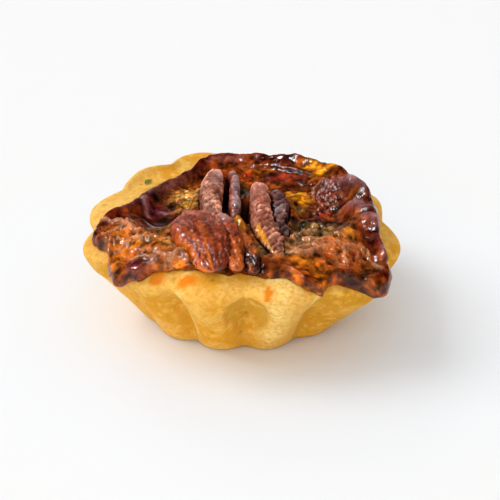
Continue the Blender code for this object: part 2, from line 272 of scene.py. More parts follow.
# %% The pastry's profile
def pastry_keys(angles):
    """Key points (radius, height) of the pastry's profile. A valley is one less the size of the
    flute's swing, sqrt(swing^2 + 0.04), scaled to run from 0 on a crest to 1, so that round flutes
    meet in narrow valleys."""
    swing = flute_swing(angles)
    widest, narrowest = np.sqrt(1 + VALLEY_SHARPNESS), np.sqrt(VALLEY_SHARPNESS)
    valley = (widest - np.sqrt(swing**2 + VALLEY_SHARPNESS)) / (widest - narrowest)
    valley = valley * around(VALLEY_SHARES, angles - FLUTE_PITCH / 2)
    rim = around(LIP_REACH, angles) - LIP_NOTCH * (1 - np.sqrt(swing**2 + NOTCH_SHARPNESS))
    wall_top = around(LIP_REACH, angles) - LIP_UNDERCUT
    lip = around(LIP_HEIGHT, angles)
    shelf = shelf_height(angles)
    flat = np.zeros_like(angles)
    keys = [(BASE_RADIUS - BASE_FILLET - WALL_FLUTE_DEPTHS[0] * valley, flat)]
    for share, depth in zip(WALL_SHARES, WALL_FLUTE_DEPTHS):
        crest = BASE_RADIUS + share * (wall_top - BASE_RADIUS)
        keys.append((crest - depth * valley, share * (lip - LIP_DROP)))
    keys += [
        (rim, lip),
        (rim - LIP_ROUND, lip + LIP_TOP),
        ((rim + SHELF_RADIUS) / 2, (lip + shelf) / 2 + SHELF_CROWN),
        (SHELF_RADIUS + flat, shelf),
        (HOLLOW_RADIUS + HOLLOW_ROUND + flat, shelf - HOLLOW_ROUND),
        (HOLLOW_RADIUS + flat, shelf - HOLLOW_DEEPER),
        (HOLLOW_RADIUS - HOLLOW_TAPERS[0] + flat, (shelf + FLOOR_THICKNESS) / 2),
        (HOLLOW_RADIUS - HOLLOW_TAPERS[1] + flat, FLOOR_THICKNESS + FLOOR_ROUND + flat),
        (HOLLOW_RADIUS - HOLLOW_TAPERS[2] + flat, FLOOR_THICKNESS + flat),
    ]
    keys = np.array([np.stack(pair, -1) for pair in keys])
    swelling = UNEVENNESS * noise(ring_of(keys, angles) / UNEVEN_LENGTH, 1)
    keys[1:, :, 0] += swelling[1:]
    return keys


# %% [markdown]
# The caramel has to lie on the pastry exactly, so it asks the pastry's own curve where it is. A
# place on the curve is a key number, and a run is a distance along the curve from the shelf's edge.


# %% Places on the pastry
def on_all(places, angles):
    """The same places at every angle."""
    return np.broadcast_to(places[:, None], (len(places), len(angles)))


def pastry_at(angles, places):
    """The profile (radius, height) at key places, and its outward normal: the curve's direction a
    small step either way, turned by a right angle."""
    keys = pastry_keys(angles)
    step = 0.02
    tangent = through(keys, places + step) - through(keys, places - step)
    normal = np.stack([tangent[..., 1], -tangent[..., 0]], -1)
    return through(keys, places), normal / np.linalg.norm(normal, axis=-1, keepdims=True)


def places_of_runs(angles, runs, samples=321):
    """Key places that lie the given distances out from the shelf's edge, measured on the pastry."""
    grid = np.linspace(SHELF_EDGE, WALL_START, samples)
    points = through(pastry_keys(angles), on_all(grid, angles))
    steps = np.linalg.norm(np.diff(points, axis=0), axis=-1)
    lengths = np.concatenate([np.zeros((1, len(angles))), np.cumsum(steps, axis=0)])
    columns = [np.interp(run, length, grid) for run, length in zip(runs.T, lengths.T)]
    return np.stack(columns, axis=1)


fluted_reach = through(pastry_keys(np.zeros(1)), np.array([[LIP_TIP]]))[0, 0, 0]
print("lip at the right side: %.1f mm from the middle" % (fluted_reach / MM))
print("base %.1f mm across, shelf %.1f mm high" % (2 * BASE_RADIUS / MM, SHELF_HEIGHT / MM))

# %% [markdown]
# ## From rings to a closed mesh
# Every piece of this pie is a stack of rings with a pole at each end, like a globe, so one helper
# turns any of them into a mesh. It closes both poles, turns the faces outward by the sign of the
# volume, and stores colours and other values for each point, which the materials read later.


# %% Meshes from rings
def outward(points, triangles):
    """Whether the faces point outward: six times the volume inside them is above zero."""
    a, b, c = (points[triangles[:, k]] for k in range(3))
    return np.einsum("ij,ij->i", a, np.cross(b, c)).sum() > 0


def shell(rings, poles):
    """Points, quads and triangles of one closed shell. Ring i and ring i + 1 are joined by quads, and
    the first and last rings by fans to their poles."""
    count, width = rings.shape[:2]
    points = np.concatenate([rings.reshape(-1, 3), poles])
    row = np.arange(width)
    after = (row + 1) % width
    low = (np.arange(count - 1) * width)[:, None]
    quads = np.stack([low + row, low + after, low + width + after, low + width + row], -1)
    quads = quads.reshape(-1, 4)
    start, end, last = count * width, count * width + 1, (count - 1) * width
    fans = np.concatenate([
        np.stack([start + 0 * row, after, row], 1),
        np.stack([end + 0 * row, last + row, last + after], 1),
    ])
    if not outward(points, np.concatenate([quads[:, [0, 1, 2]], quads[:, [0, 2, 3]], fans])):
        quads, fans = quads[:, ::-1], fans[:, ::-1]
    return points, quads, fans


def with_poles(field):
    """A field of the rings as one list, with the first and the last value again for the poles."""
    flat = field.reshape(-1, *field.shape[2:])
    return np.concatenate([flat, field[:1, 0], field[-1:, 0]])


# %% [markdown]
# A piece can be one shell, like the cup, or several, like a nut with its lobes. Each shell brings its
# colours along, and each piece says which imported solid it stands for.


# %% A closed piece
def closed_piece(name, shells, node=""):
    """One piece of closed shells, each given as (rings, poles, colours, other values)."""
    points, quads, fans, tints, values = [], [], [], [], {}
    total = 0
    for rings, poles, tint, fields in shells:
        places, four, three = shell(rings, poles)
        points.append(places)
        quads.append(four + total)
        fans.append(three + total)
        tints.append(with_poles(tint))
        for key, field in fields.items():
            values.setdefault(key, []).append(with_poles(field))
        total += len(places)
    quads, fans = np.concatenate(quads), np.concatenate(fans)
    mesh = bpy.data.meshes.new(name)
    mesh.from_pydata(np.concatenate(points).tolist(), [], quads.tolist() + fans.tolist())
    mesh.shade_smooth()
    colours = np.ones((total, 4))
    colours[:, :3] = np.concatenate(tints)
    store(mesh, "tint", "FLOAT_COLOR", "color", colours)
    for key, fields in values.items():
        store(mesh, key, "FLOAT", "value", np.concatenate(fields))
    piece = bpy.data.objects.new(name, mesh)
    bpy.context.scene.collection.objects.link(piece)
    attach(piece, "root")
    if node:
        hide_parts(node)
    print("%s: %d triangles" % (name, 2 * len(quads) + len(fans)))
    return piece


def store(mesh, key, kind, field, values):
    """Puts one value for each point into a named attribute of the mesh."""
    layer = mesh.attributes.new(key, kind, "POINT")
    layer.data.foreach_set(field, np.ascontiguousarray(values, np.float32).ravel())


def normals_of(rings):
    """Unit normals of a ring surface, from the cross product of its two directions."""
    along = np.gradient(rings, axis=0)
    across = np.roll(rings, -1, axis=1) - np.roll(rings, 1, axis=1)
    normal = np.cross(across, along)
    return normal / np.maximum(np.linalg.norm(normal, axis=-1, keepdims=True), 1e-12)


# %% [markdown]
# ## The pastry cup
# Short pastry that is pressed into a tin comes out smooth, with a fine grain, a few open pores where
# butter melted, and soft dents from the fingers. The relief could be bump alone, but real dents turn
# the light at the edges too, so they are in the mesh, and only the grain is left to the material.
# All of it goes inward, so the cup never grows past its true size.

# %% The pastry cup
CRUST_ANGLES = 560
CRUST_RINGS = 128
DENT_SIZE = 6 * MM
DENT_DEPTH = 0.16 * MM
GRAIN_SIZE = 1.6 * MM
GRAIN_DEPTH = 0.05 * MM
PORE_PITCH = 2.6 * MM
PORE_DEPTH = 0.12 * MM
PORES = ((1.1, -23.4, 9.8, 0.7), (-0.3, -21.0, 4.9, 0.5), (12.6, -21.5, 9.5, 0.4))
DEEP_PORE = 0.5 * MM
NICHE = (1.0, 11.8, 4.6, 6.2)
NICHE_DEPTH = 0.8 * MM
NICHE_EDGE = 0.3
PASTRY_PALE = (0.84, 0.47, 0.10)
PASTRY_GOLD = (0.77, 0.345, 0.024)
PASTRY_OCHRE = (0.63, 0.325, 0.034)
PASTRY_PAINTED_HIGHLIGHT = (0.97, 0.70, 0.24)
PASTRY_PAINTED_SHADE = (0.52, 0.25, 0.014)
PORE_AND_SHADOW_BROWN = (0.26, 0.13, 0.012)
STAIN = (0.78, 0.22, 0.002)


def crust_relief(points, shown):
    """How far the pastry is pushed in: dents, grain and pores, each of them noise at its own size."""
    dents = (1 + rough(points / DENT_SIZE, 11, 3)) * DENT_DEPTH
    grain = (1 + rough(points / GRAIN_SIZE, 21, 2)) * GRAIN_DEPTH
    near, _, owner = cells(points / PORE_PITCH, 31)
    size = 0.08 + 0.06 * held(owner)
    pores = PORE_DEPTH * bell(near, size) * (owner > 0.3)
    pits = sum(DEEP_PORE * deep_hole(points, *place) for place in PORES)
    scooped = NICHE_DEPTH * smooth(held(niche(points) / NICHE_EDGE))
    return (dents + grain + pores + pits + scooped) * shown, pores / PORE_DEPTH + pits / DEEP_PORE


def niche(points):
    """The hollow under the lip between the two front flutes: one less the distance from its middle,
    measured in its half width and half height, so it is 0 on its round border."""
    x, z, wide, high = NICHE
    away = np.hypot((points[..., 0] / MM - x) / wide, (points[..., 2] / MM - z) / high)
    return (1 - away) * (points[..., 1] < -HOLLOW_RADIUS)


def deep_hole(points, x, y, z, wide):
    """A round pit in space: e^-(distance / half width)^2, all in mm."""
    away = np.linalg.norm(points / MM - np.array([x, y, z]), axis=-1)
    return bell(away, wide)


angles = np.linspace(0, 2 * np.pi, CRUST_ANGLES, endpoint=False)
places = np.concatenate([np.linspace(0, SHELF_EDGE, CRUST_RINGS), [11, 12, 13, 14]])
cup, cup_normal = pastry_at(angles, on_all(places, angles))
cup = ring_of(cup, angles)
cup_out = ring_of(cup_normal, angles)
shown = held(places)[:, None] * (places <= SHELF_EDGE)[:, None]
pressed, holes = crust_relief(cup, shown)
crust_points = cup - cup_out * pressed[..., None]
crust_points[0, :, 2] = 0

# %% [markdown]
# The pastry's colour follows its form. Lips and crests, which the oven reaches first, are deeper gold,
# valleys are darkened towards ochre as painted shade, and syrup that seeped under the caramel has left
# orange stains just outside its edge. Some lips and flute edges also carry painted highlights and some
# walls painted shade, and the niche under the front lip is painted darker, with a painted shadow along
# its top. These are colours for each point, so they stay where the form is.

# %% The pastry's colour
STAINS = (
    (-10.2, -25.9, 2.0, 1.7),
    (5.3, -29.2, 0.9, 1.9, -15),
    (-15.9, -22.3, 1.6, 1.4),
)
NICHE_SHADOW_ABOVE = 12 * MM
NICHE_SHADOW_WIDTH = 0.05
NICHE_SHADE_IN = 0.12
# Painted light and shade by angle round the pie: highlights where lips and flute edges catch the
# light, and shade on two walls.
PAINTED_LIGHT_AND_SHADE = (
    # angle and half width in degrees, strength, colour: painted highlights on lips and flute edges,
    # painted shade on walls
    (247, 2.0, 0.8, PASTRY_PAINTED_HIGHLIGHT),
    (297, 1.6, 0.8, PASTRY_PAINTED_HIGHLIGHT),
    (285, 7, 1.1, PASTRY_PAINTED_HIGHLIGHT),
    (172, 16, 0.6, PASTRY_PAINTED_HIGHLIGHT),
    (148, 10, 0.3, PASTRY_PAINTED_HIGHLIGHT),
    (312, 9, 0.7, PASTRY_PAINTED_SHADE),
    (233, 7, 0.35, PASTRY_PAINTED_SHADE),
)
mottle = rough(cup / (5 * MM), 41, 3)
swing = flute_swing(angles) ** 2
crust_tint = all_over(cup, PASTRY_PALE)
wall = held((LIP_TIP + 0.5 - places) / 1.5)[:, None]
crust_tint = mix(crust_tint, PASTRY_GOLD, 0.25 + 0.40 * wall + 2.0 * mottle)
# painted shade: the flute valleys on the wall are darkened towards ochre
crust_tint = mix(crust_tint, PASTRY_OCHRE, (1 - swing) ** 2 * wall * 0.6)
turned = np.degrees(angles) % 360
for middle, wide, strength, colour in PAINTED_LIGHT_AND_SHADE:
    share = strength * bell(turned - middle, wide) * (0.7 + mottle)
    crust_tint = mix(crust_tint, colour, share * smooth(held(places / 3))[:, None])
# painted shade: the niche under the front lip is darkened towards ochre, with a painted shadow along
# its upper edge
hollow = niche(cup)
crust_tint = mix(crust_tint, PASTRY_OCHRE, 0.9 * held(hollow / NICHE_SHADE_IN))
niche_shadow = bell(hollow - NICHE_SHADOW_WIDTH, NICHE_SHADOW_WIDTH) * (cup[..., 2] > NICHE_SHADOW_ABOVE)
crust_tint = mix(crust_tint, PORE_AND_SHADOW_BROWN, 0.4 * niche_shadow)
seeped = 1.5 * spots(cup, STAINS) * (0.9 + 1.2 * rough(cup / (1.6 * MM), 45, 3))
stained = smooth(held(seeped - 0.15)) * (places > LIP_TIP)[:, None]
# pores and pits darkened by their depth: partly the pastry's own brown, partly painted shade
crust_tint = mix(crust_tint, PORE_AND_SHADOW_BROWN, holes * 0.8)
crust_poles = np.array([[0, 0, 0], [0, 0, FLOOR_THICKNESS]])
crust = closed_piece(
    "pastry_cup", [(crust_points, crust_poles, crust_tint, {"stain": stained})], "crust"
)

# %% [markdown]
# ## The caramel's form
# The caramel boiled up, ran out over the shelf and sank back as it cooled. That leaves a raised bead
# round its edge, a thin skin on the shelf, and a lower pool in the middle. A table gives how far it
# ran at each angle, and the surface is then one sheet from that edge to the centre: lifted square
# to the pastry at the lip, and straight up over the pool.

# %% The caramel's sizes
CARAMEL_EDGE = (
    # angle in degrees, run in mm, bead in mm
    (0, 5.6, 1.6),
    (10, 4.8, 1.6),
    (22, 4.1, 1.8),
    (35, 5.6, 2.1),
    (47, 6.3, 2.0),
    (60, 5.7, 1.8),
    (75, 4.9, 1.3),
    (90, 5.3, 1.0),
    (104, 5.9, 0.8),
    (110, 5.0, 0.8),
    (114, 2.8, 0.7),
    (119, 1.2, 0.6),
    (129, 0.6, 0.5),
    (144, 0.4, 0.5),
    (160, 0.3, 0.5),
    (168, 0.4, 0.5),
    (175, 0.7, 0.6),
    (181, 2.5, 0.7),
    (187, 5.2, 0.9),
    (192, 8.0, 1.1),
    (197, 9.5, 1.2),
    (201, 9.1, 1.2),
    (206, 7.5, 1.2),
    (212, 9.3, 1.2),
    (222, 10.3, 1.2),
    (228, 8.7, 1.0),
    (233, 6.1, 1.0),
    (240, 4.3, 0.5),
    (256, 4.0, 0.2),
    (274, 4.1, 0.2),
    (279, 5.1, 0.4),
    (288, 5.7, 0.6),
    (293, 9.0, 0.9),
    (298, 10.6, 1.0),
    (303, 9.2, 1.0),
    (307, 10.0, 1.2),
    (311, 11.9, 1.4),
    (315, 14.3, 1.4),
    (319, 14.8, 1.4),
    (324, 13.7, 1.4),
    (329, 10.4, 1.4),
    (334, 7.8, 1.5),
    (341, 6.2, 1.5),
    (350, 5.5, 1.6),
)
BEAD_INSET = 1.6 * MM
BEAD_WIDTH = 1.4 * MM
SKIN = 0.9 * MM
SKIN_EDGE = 0.5 * MM
POOL_DROP = 0.9 * MM
POOL_RADIUS = 18.0 * MM
SHELF_GAP = 0.6 * MM
HANGING_GAP = 1.0 * MM
UNDER_GAP = 0.06 * MM
EDGE_ROUND = 0.9 * MM
FEATHER = 1.6 * MM
SCALLOP_RADIUS = 26 * MM
CARAMEL_ANGLES = 540
CARAMEL_RINGS = 165
RING_POWER = 1.2


run_sizes = [run for _, run, _ in CARAMEL_EDGE]
print("caramel runs %.1f to %.1f mm out from the shelf" % (min(run_sizes), max(run_sizes)))


# %% [markdown]
# A boiled edge is never a clean line. Noise along the lip gives the run its small scallops, and a
# bead of syrup stands a little way in from the edge, as a drop is thickest just behind its front.


# %% The caramel's edge
def gap_over(places):
    """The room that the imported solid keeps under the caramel, wider where it hangs over the lip."""
    return np.interp(places, [LIP_TIP, LIP_TIP + 1.5], [HANGING_GAP, SHELF_GAP])


def bead_over(inset, bead):
    """The bead's height at a distance in from the edge: bead times e^-((inset - 1.6) / 1.4)^2."""
    return bead * bell(inset - BEAD_INSET, BEAD_WIDTH)


def caramel_edge(angles):
    """The run and the bead at each angle, with the small scallops that a boiled edge has."""
    degrees, run, bead = np.array(CARAMEL_EDGE).T
    turn = np.degrees(angles) % 360
    run, bead = (np.interp(turn, degrees, values, period=360) * MM for values in (run, bead))
    at_lip = SCALLOP_RADIUS * np.stack([np.cos(angles), np.sin(angles), 0 * angles], -1)
    scallops = 0.35 * noise(at_lip / (2.2 * MM), 51) + 0.2 * noise(at_lip / (0.9 * MM), 52)
    return run + scallops * MM, bead


# %% [markdown]
# The top is worked out from the edge inwards. Over the pastry it is the pastry's surface, lifted by
# the skin and the bead. Past the shelf's edge there is no pastry below, so it falls to the pool.


# %% The caramel's sheet
def caramel_sheet(angles):
    """The caramel's smooth top as rings of points, with the direction in which its relief stands and
    the distance in from its edge. Edge rounding is a quarter circle: sqrt(1 - (1 - s)^2)."""
    run, bead = caramel_edge(angles)
    edge, _ = pastry_at(angles, on_all(np.array([SHELF_EDGE]), angles))
    inner = edge[0, :, 0]
    shares = np.linspace(0, 1, CARAMEL_RINGS + 1)[:-1, None] ** RING_POWER
    inset = (run + inner) * shares
    places = places_of_runs(angles, np.maximum(run - inset, 0))
    surface, normal = pastry_at(angles, places)
    skin = SKIN_EDGE + (SKIN - SKIN_EDGE) * np.minimum(inset / BEAD_INSET, 1)
    edge_round = EDGE_ROUND + FEATHER * held(1 - bead / MM)
    rounding = np.sqrt(1 - (1 - np.minimum(inset / edge_round, 1)) ** 2)
    lift = UNDER_GAP + (gap_over(places) - UNDER_GAP + skin + bead_over(inset, bead)) * rounding
    upright = held((places - LIP_TIP - 2) / 1.5)[..., None]
    direction = normal * (1 - upright) + np.array([0, 1]) * upright
    direction /= np.linalg.norm(direction, axis=-1, keepdims=True)
    over = surface + direction * lift[..., None]
    radius = inner - np.maximum(inset - run, 0)
    plan = np.stack([radius * np.cos(angles), radius * np.sin(angles), 0 * radius], -1)
    wander = 1 + 0.5 * rough(plan / (5 * MM), 55, 3)
    fall = smooth(held((inner - radius) / ((inner - POOL_RADIUS) * wander)))
    skin_height = surface[..., 1] + gap_over(places) + skin
    pool_height = skin_height * (1 - fall) + (shelf_height(angles) - POOL_DROP) * fall
    pool = np.stack([radius, pool_height + bead_over(inset, bead)], -1)
    profile = np.where((inset < run)[..., None], over, pool)
    return ring_of(profile, angles), ring_of(direction, angles), inset, bead


def caramel_underside(angles, rings=7):
    """Rings just over the pastry, from the floor of the hollow out to the caramel's edge."""
    run, _ = caramel_edge(angles)
    runs = run * np.linspace(1, 0, rings)[:, None]
    hollow = on_all(np.array([11, 12, 13, 14]), angles)
    places = np.concatenate([places_of_runs(angles, runs), hollow])
    surface, normal = pastry_at(angles, places)
    gap = np.full(places.shape, UNDER_GAP)
    gap[rings:] = SHELF_GAP
    return ring_of(surface + normal * gap[..., None], angles)[::-1]


# %% [markdown]
# With the edge and the profile in hand, the sheet is laid round the whole pie, as rings of points
# from the edge in to the middle. It is still smooth here.


# %% Lay the caramel
turns = np.linspace(0, 2 * np.pi, CARAMEL_ANGLES, endpoint=False)
sheet, stands, inset, bead = caramel_sheet(turns)
highest, pool_middle = sheet[..., 2].max() / MM, sheet[-1, :, 2].mean() / MM
print("caramel: highest %.1f mm, pool %.1f mm" % (highest, pool_middle))

# %% [markdown]
# ## The caramel's relief
# Several things shape a boiled caramel's skin. Smooth lumps and ropes swell on the bead where syrup
# welled up. The skin wrinkled into cells with raised, dry borders. Sugar grained in some patches,
# bubbles set in others, and a few folds run across the front. Each is a height in mm, shown only
# where its spots or lines are, and all are added to the smooth sheet along its own direction.

# %% Lumps and hollows
LUMPS = (
    # x, y, half width, half depth, turn, height, all in mm but the turn
    (19.6, 14.4, 3.0, 1.8, 40, 0.6),
    (22.9, 2.8, 2.6, 0.8, 12, -1.0),
    (24.6, -5.2, 2.4, 0.6, -12, -0.9),
    (26.8, -11.0, 2.4, 0.7, -14, -0.8),
    (26.4, -18.4, 2.4, 0.8, 0, -0.7),
    (11.2, 22.4, 2.0, 1.6, 0, 0.5),
    (17.0, 20.5, 3.6, 1.4, -20, -0.5),
    (11.5, 9.0, 2.4, 3.6, 0, 1.0),
    (12.2, 3.0, 1.6, 1.2, 0, 0.7),
    (-16.0, -7.7, 1.7, 1.9, 0, 1.0),
    (-19.6, -20.8, 1.7, 1.8, 0, 1.1),
    (-22.2, -23.6, 1.7, 1.5, 0, 0.8),
    (-21.6, 2.9, 2.4, 1.1, 52, 0.7),
    (-24.9, -3.4, 2.2, 1.0, 38, 0.6),
    (-24.2, -19.6, 1.5, 1.6, 0, 0.4),
    (-11.6, 7.5, 3.2, 5.2, 0, 0.9),
    (12.6, -3.9, 1.0, 1.3, 0, 0.9),
    (20.6, -12.3, 1.3, 1.5, 0, 0.7),
    (15.4, -14.5, 2.6, 2.0, 0, 0.5),
    (14.0, -24.6, 1.6, 2.4, 0, 0.4),
    (24.5, -24.0, 2.4, 2.4, 0, 0.5),
    (-0.7, -6.4, 2.6, 1.2, -62, 2.6),
    (-16.4, -0.6, 3.0, 3.4, 0, -1.1),
    (12.3, 1.0, 2.8, 1.3, 0, -1.3),
    (10.6, -6.4, 1.8, 1.1, 0, -1.2),
    (10.4, -14.5, 2.4, 2.6, 0, -0.6),
    (23.0, -24.0, 1.0, 2.0, 0, -0.6),
    (8.5, -21.5, 1.6, 0.9, 0, -0.5),
)
HEIGHT = 5


def lumps_at(points):
    """The sum of all lumps: each one its height times its soft oval."""
    return sum(lump[HEIGHT] * spot(points, *lump[:HEIGHT]) for lump in LUMPS)


lump_height = lumps_at(sheet)
print("lumps from %.1f to %.1f mm" % (lump_height.min(), lump_height.max()))

# %% [markdown]
# Each kind of skin shows only inside its own ovals, given in plan. Where two kinds meet, the
# grained, foamed and smooth ones push the wrinkles out.

# %% Where the skin wrinkled, grained and foamed
WRINKLED = (
    (-19, -13, 6, 5),
    (-12, -20, 7, 3),
    (-23, -10, 4, 4),
    (13, -14, 8, 7),
    (20, -19, 5, 5),
)
GRAINED = ((16.2, 11.0, 2.8, 3.4), (17.6, 4.5, 3.0, 4.6))
FOAMED = (
    (-11.4, 8.0, 3.0, 5.4),
    (-13.0, -17.0, 4.0, 2.6),
    (11.8, -8.0, 4.0, 2.0),
    (14.6, -5.4, 3.6, 1.6),
    (6.0, -17.0, 2.6, 4.0),
)
STILL = (
    (-16.6, -0.8, 2.8, 3.0),
    (-17.0, 7.5, 3.2, 4.0),
    (21.6, 7.6, 3.4, 2.4, -42),
    (23.4, -1.8, 3.6, 2.6, -58),
    (26.0, -7.8, 3.0, 2.6, -42),
    (26.6, -14.0, 2.6, 3.6),
    (-24.0, 3.0, 2.0, 5.0),
    (-16.0, 16.0, 5.0, 2.6, 45),
    (-19.6, -20.8, 1.6, 1.6),
    (-22.2, -23.6, 1.6, 1.4),
    (-24.9, -3.4, 2.4, 1.6, 38),
)
print("places: %d wrinkled, %d grained, %d foamed, %d smooth" % tuple(
    len(kind) for kind in (WRINKLED, GRAINED, FOAMED, STILL)
))
wrinkled = held(1.3 * spots(sheet, WRINKLED))
grained = held(1.6 * spots(sheet, GRAINED))
foamed = held(1.5 * spots(sheet, FOAMED))
still = held(1.4 * spots(sheet, STILL))
wrinkled = held(wrinkled - 0.1) * (1 - grained) * (1 - 0.7 * foamed) * (1 - still)

# %% [markdown]
# Wrinkles are the borders between random cells. The difference between the distances to the two
# nearest cell centres is zero on a border, so a narrow bell of it is a raised ridge. Bending the
# points by noise first keeps the ridges from looking straight.


# %% Wrinkles, grains and bubbles
def bent(points, size, seed, amount):
    """Points in cells of the given size, shifted by noise so that borders between cells wave."""
    scaled = points / size
    shift = np.stack([rough(scaled * 0.9, seed + 7 * k, 3) for k in range(3)], -1)
    return scaled + amount * shift


def ridges(points, size, seed, narrow):
    """Ridge height from 0 to 1 on the borders of bent cells, and how far the middle bulges."""
    near, second, owner = cells(bent(points, size, seed, 0.45), seed)
    return bell(second - near, narrow), held(1 - near**2), owner


def domes(points, size, seed):
    """Small round domes, one for each cell: sqrt(1 - (distance / radius)^2)."""
    near, _, owner = cells(points / size, seed)
    return np.sqrt(held(1 - (near / 0.62) ** 2)), owner


# %% [markdown]
# Folds, painted reflection streaks, a painted reflection crescent in the pool and the thick ropes at
# the rim have places of their own, so each is a line through a few points in plan. The skin is wavy,
# so the folds are measured from wavy points too.

# %% Folds, streaks and ropes
FOLDS = (
    ((10.4, -21.4), (12.6, -20.3), (14.3, -19.2), (16.0, -18.1), (18.2, -16.8), (19.9, -16.9),
     (22.3, -16.3), (24.1, -16.1), (25.1, -19.4), (26.4, -21.4)),
    ((8.8, -10.8), (10.3, -10.3), (11.6, -9.1), (13.0, -7.9), (14.8, -7.5)),
    ((8.9, -14.8), (10.1, -16.1), (11.8, -16.4), (13.1, -17.3), (14.1, -18.6)),
    ((7.5, -22.1), (8.9, -21.5), (10.4, -20.6), (11.7, -21.0), (13.4, -20.4)),
    ((12.0, -11.3), (13.3, -12.2), (15.3, -11.7), (16.9, -13.6), (18.6, -13.4)),
    ((19.5, -16.8), (19.6, -19.5), (19.9, -21.2)),
    ((-27.9, -5.9), (-26.4, -5.4), (-24.7, -5.7), (-23.0, -7.4)),
    ((-27.1, -10.7), (-25.4, -10.0), (-24.0, -8.6), (-22.3, -8.1), (-21.4, -10.2), (-20.3, -11.7),
     (-18.6, -11.2), (-17.2, -12.1), (-15.7, -12.1)),
    ((-19.4, -15.4), (-18.4, -13.8), (-16.7, -13.1), (-15.1, -14.0), (-13.8, -14.9)),
    ((-21.0, -18.9), (-19.5, -19.4), (-18.0, -19.6), (-16.3, -20.3), (-14.7, -21.4), (-13.2, -22.3),
     (-11.6, -21.2), (-9.7, -20.2)),
    ((-22.8, -15.4), (-21.8, -14.0), (-20.6, -13.5), (-19.2, -14.5)),
)
FOLD_WIDTH = 0.32
SHINE_WIDTH = 0.5
POOL_REFLECTION_WIDTH = 0.55
ROPE_WIDTH = 1.5
ROPE_FULLNESS = 2.4
POOL_REFLECTION = ((-18.6, -3.3), (-17.2, -4.5), (-15.6, -5.0), (-13.9, -4.8))
PAINTED_REFLECTION_GREY = (0.62, 0.54, 0.52)
# streaks of painted reflection in the pool
SHINES = (
    ((-20.1, 6.2), (-19.9, 3.0), (-18.8, 0.9)),
    ((-16.9, 3.0), (-15.7, 2.5), (-14.5, 2.5)),
)
RIM_ROPE = (
    (-26.4, -3.6), (-23.6, -0.6), (-21.4, 4.2), (-19.4, 8.2), (-17.4, 10.6), (-15.4, 13.2),
    (-13.2, 16.4), (-11.0, 19.6), (-9.0, 22.0), (-5.0, 24.0), (0.0, 24.4),
)
RIGHT_ROPE = (
    # half width and height in mm, then the line each swelling follows
    (1.9, 1.6, ((17.6, 11.6), (20.3, 10.3), (22.4, 8.6), (24.0, 6.6), (24.6, 4.8))),
    (2.0, 1.8, ((22.0, 0.8), (23.3, -1.3), (24.4, -3.6))),
    (1.8, 1.5, ((24.3, -6.6), (25.7, -7.6), (26.9, -9.4))),
    (1.6, 1.2, ((27.2, -12.4), (27.4, -14.4), (27.3, -16.8))),
)
print("lines: %d folds, %d streaks, %d ropes" % (len(FOLDS), len(SHINES), 1 + len(RIGHT_ROPE)))

# %% [markdown]
# Cells with raised borders make the wrinkles, and small domes make the grains and the bubbles. Each
# is worked out over the whole sheet, and the next cell shows it only in its own places.

# %% How high each kind of relief stands
coarse, bulge, cell_mood = ridges(sheet, 3.3 * MM, 61, 0.10)
fine, fine_bulge, fine_mood = ridges(sheet, 1.6 * MM, 71, 0.14)
grain_dome, grain_mood = domes(bent(sheet, 0.9 * MM, 81, 0.2), 1.0, 81)
foam_dome, foam_mood = domes(bent(sheet, 1.3 * MM, 91, 0.2), 1.0, 91)
wavy = sheet + 0.5 * MM * np.stack([rough(sheet / (1.5 * MM), 95 + k, 3) for k in range(3)], -1)
fold_distance = np.min([from_line(wavy, line) for line in FOLDS], axis=0)
fold = bell(fold_distance, FOLD_WIDTH)
shine = np.max([bell(from_line(wavy, line), SHINE_WIDTH) for line in SHINES], axis=0)

NUT_GROOVES = (
    # half width in mm, then the line between two lobes
    (0.7, ((-3.5, 13.5), (-3.5, 8.0), (-3.6, 0.0), (-3.5, -4.0))),
    (0.8, ((0.5, 5.0), (0.5, 1.0), (0.6, -3.0), (1.0, -5.0))),
    (0.6, ((5.8, 7.0), (6.1, 2.0), (6.3, -4.0))),
    (0.6, ((-4.6, -10.5), (-3.4, -15.0), (-2.5, -19.5), (-2.4, -26.6))),
    (0.5, ((-0.6, -13.0), (0.1, -17.0), (0.5, -21.0), (0.6, -26.6))),
)
grooved = np.max(
    [bell(from_line(sheet, line), wide, 4) for wide, line in NUT_GROOVES], axis=0
)
rope = bell(from_line(sheet, RIM_ROPE), ROPE_WIDTH)
swellings_at = [from_line(sheet, line) / wide for wide, _, line in RIGHT_ROPE]
right_rope = sum(
    high * bell(away, 1, ROPE_FULLNESS) for away, (_, high, _) in zip(swellings_at, RIGHT_ROPE)
)
sheen = np.max([bell(away, SHINE_WIDTH) for away in swellings_at], axis=0)

# %% [markdown]
# The weights below are heights in mm. Folds and foam stand highest among the small relief, and a low
# rolling noise keeps the skin between them from looking flat, but for the places that set smooth.

# %% All of the relief
rolling = rough(sheet / (3.0 * MM), 101, 4)
pimples = rough(sheet / (1.1 * MM), 105, 3)
small = (
    wrinkled * (0.34 * coarse + 0.22 * fine + 0.20 * fine_bulge * fine_mood)
    + grained * (0.50 * grain_dome + 0.30 * grain_mood)
    + foamed * (0.62 * foam_dome + 0.15 * foam_mood)
    + 0.65 * fold
    + 0.18 * pimples * (1 - 0.7 * still) * (1 - foamed)
)
relief = (
    lump_height + 0.42 * rolling * (1 - still) + 0.45 * wrinkled * (bulge - 0.4)
    + 0.35 * rope * (1 + 0.8 * rolling) + right_rope - 2.0 * grooved + small
)
print("relief from %.1f to %.1f mm" % (relief.min(), relief.max()))

# %% [markdown]
# ## Where the pecans press in
# The pecans were laid on before baking, so the caramel dips under each of them and climbs a little
# at its sides. Their undersides are known curves, so the caramel is simply kept a hair below them:
# no cut is needed, and nothing crosses.

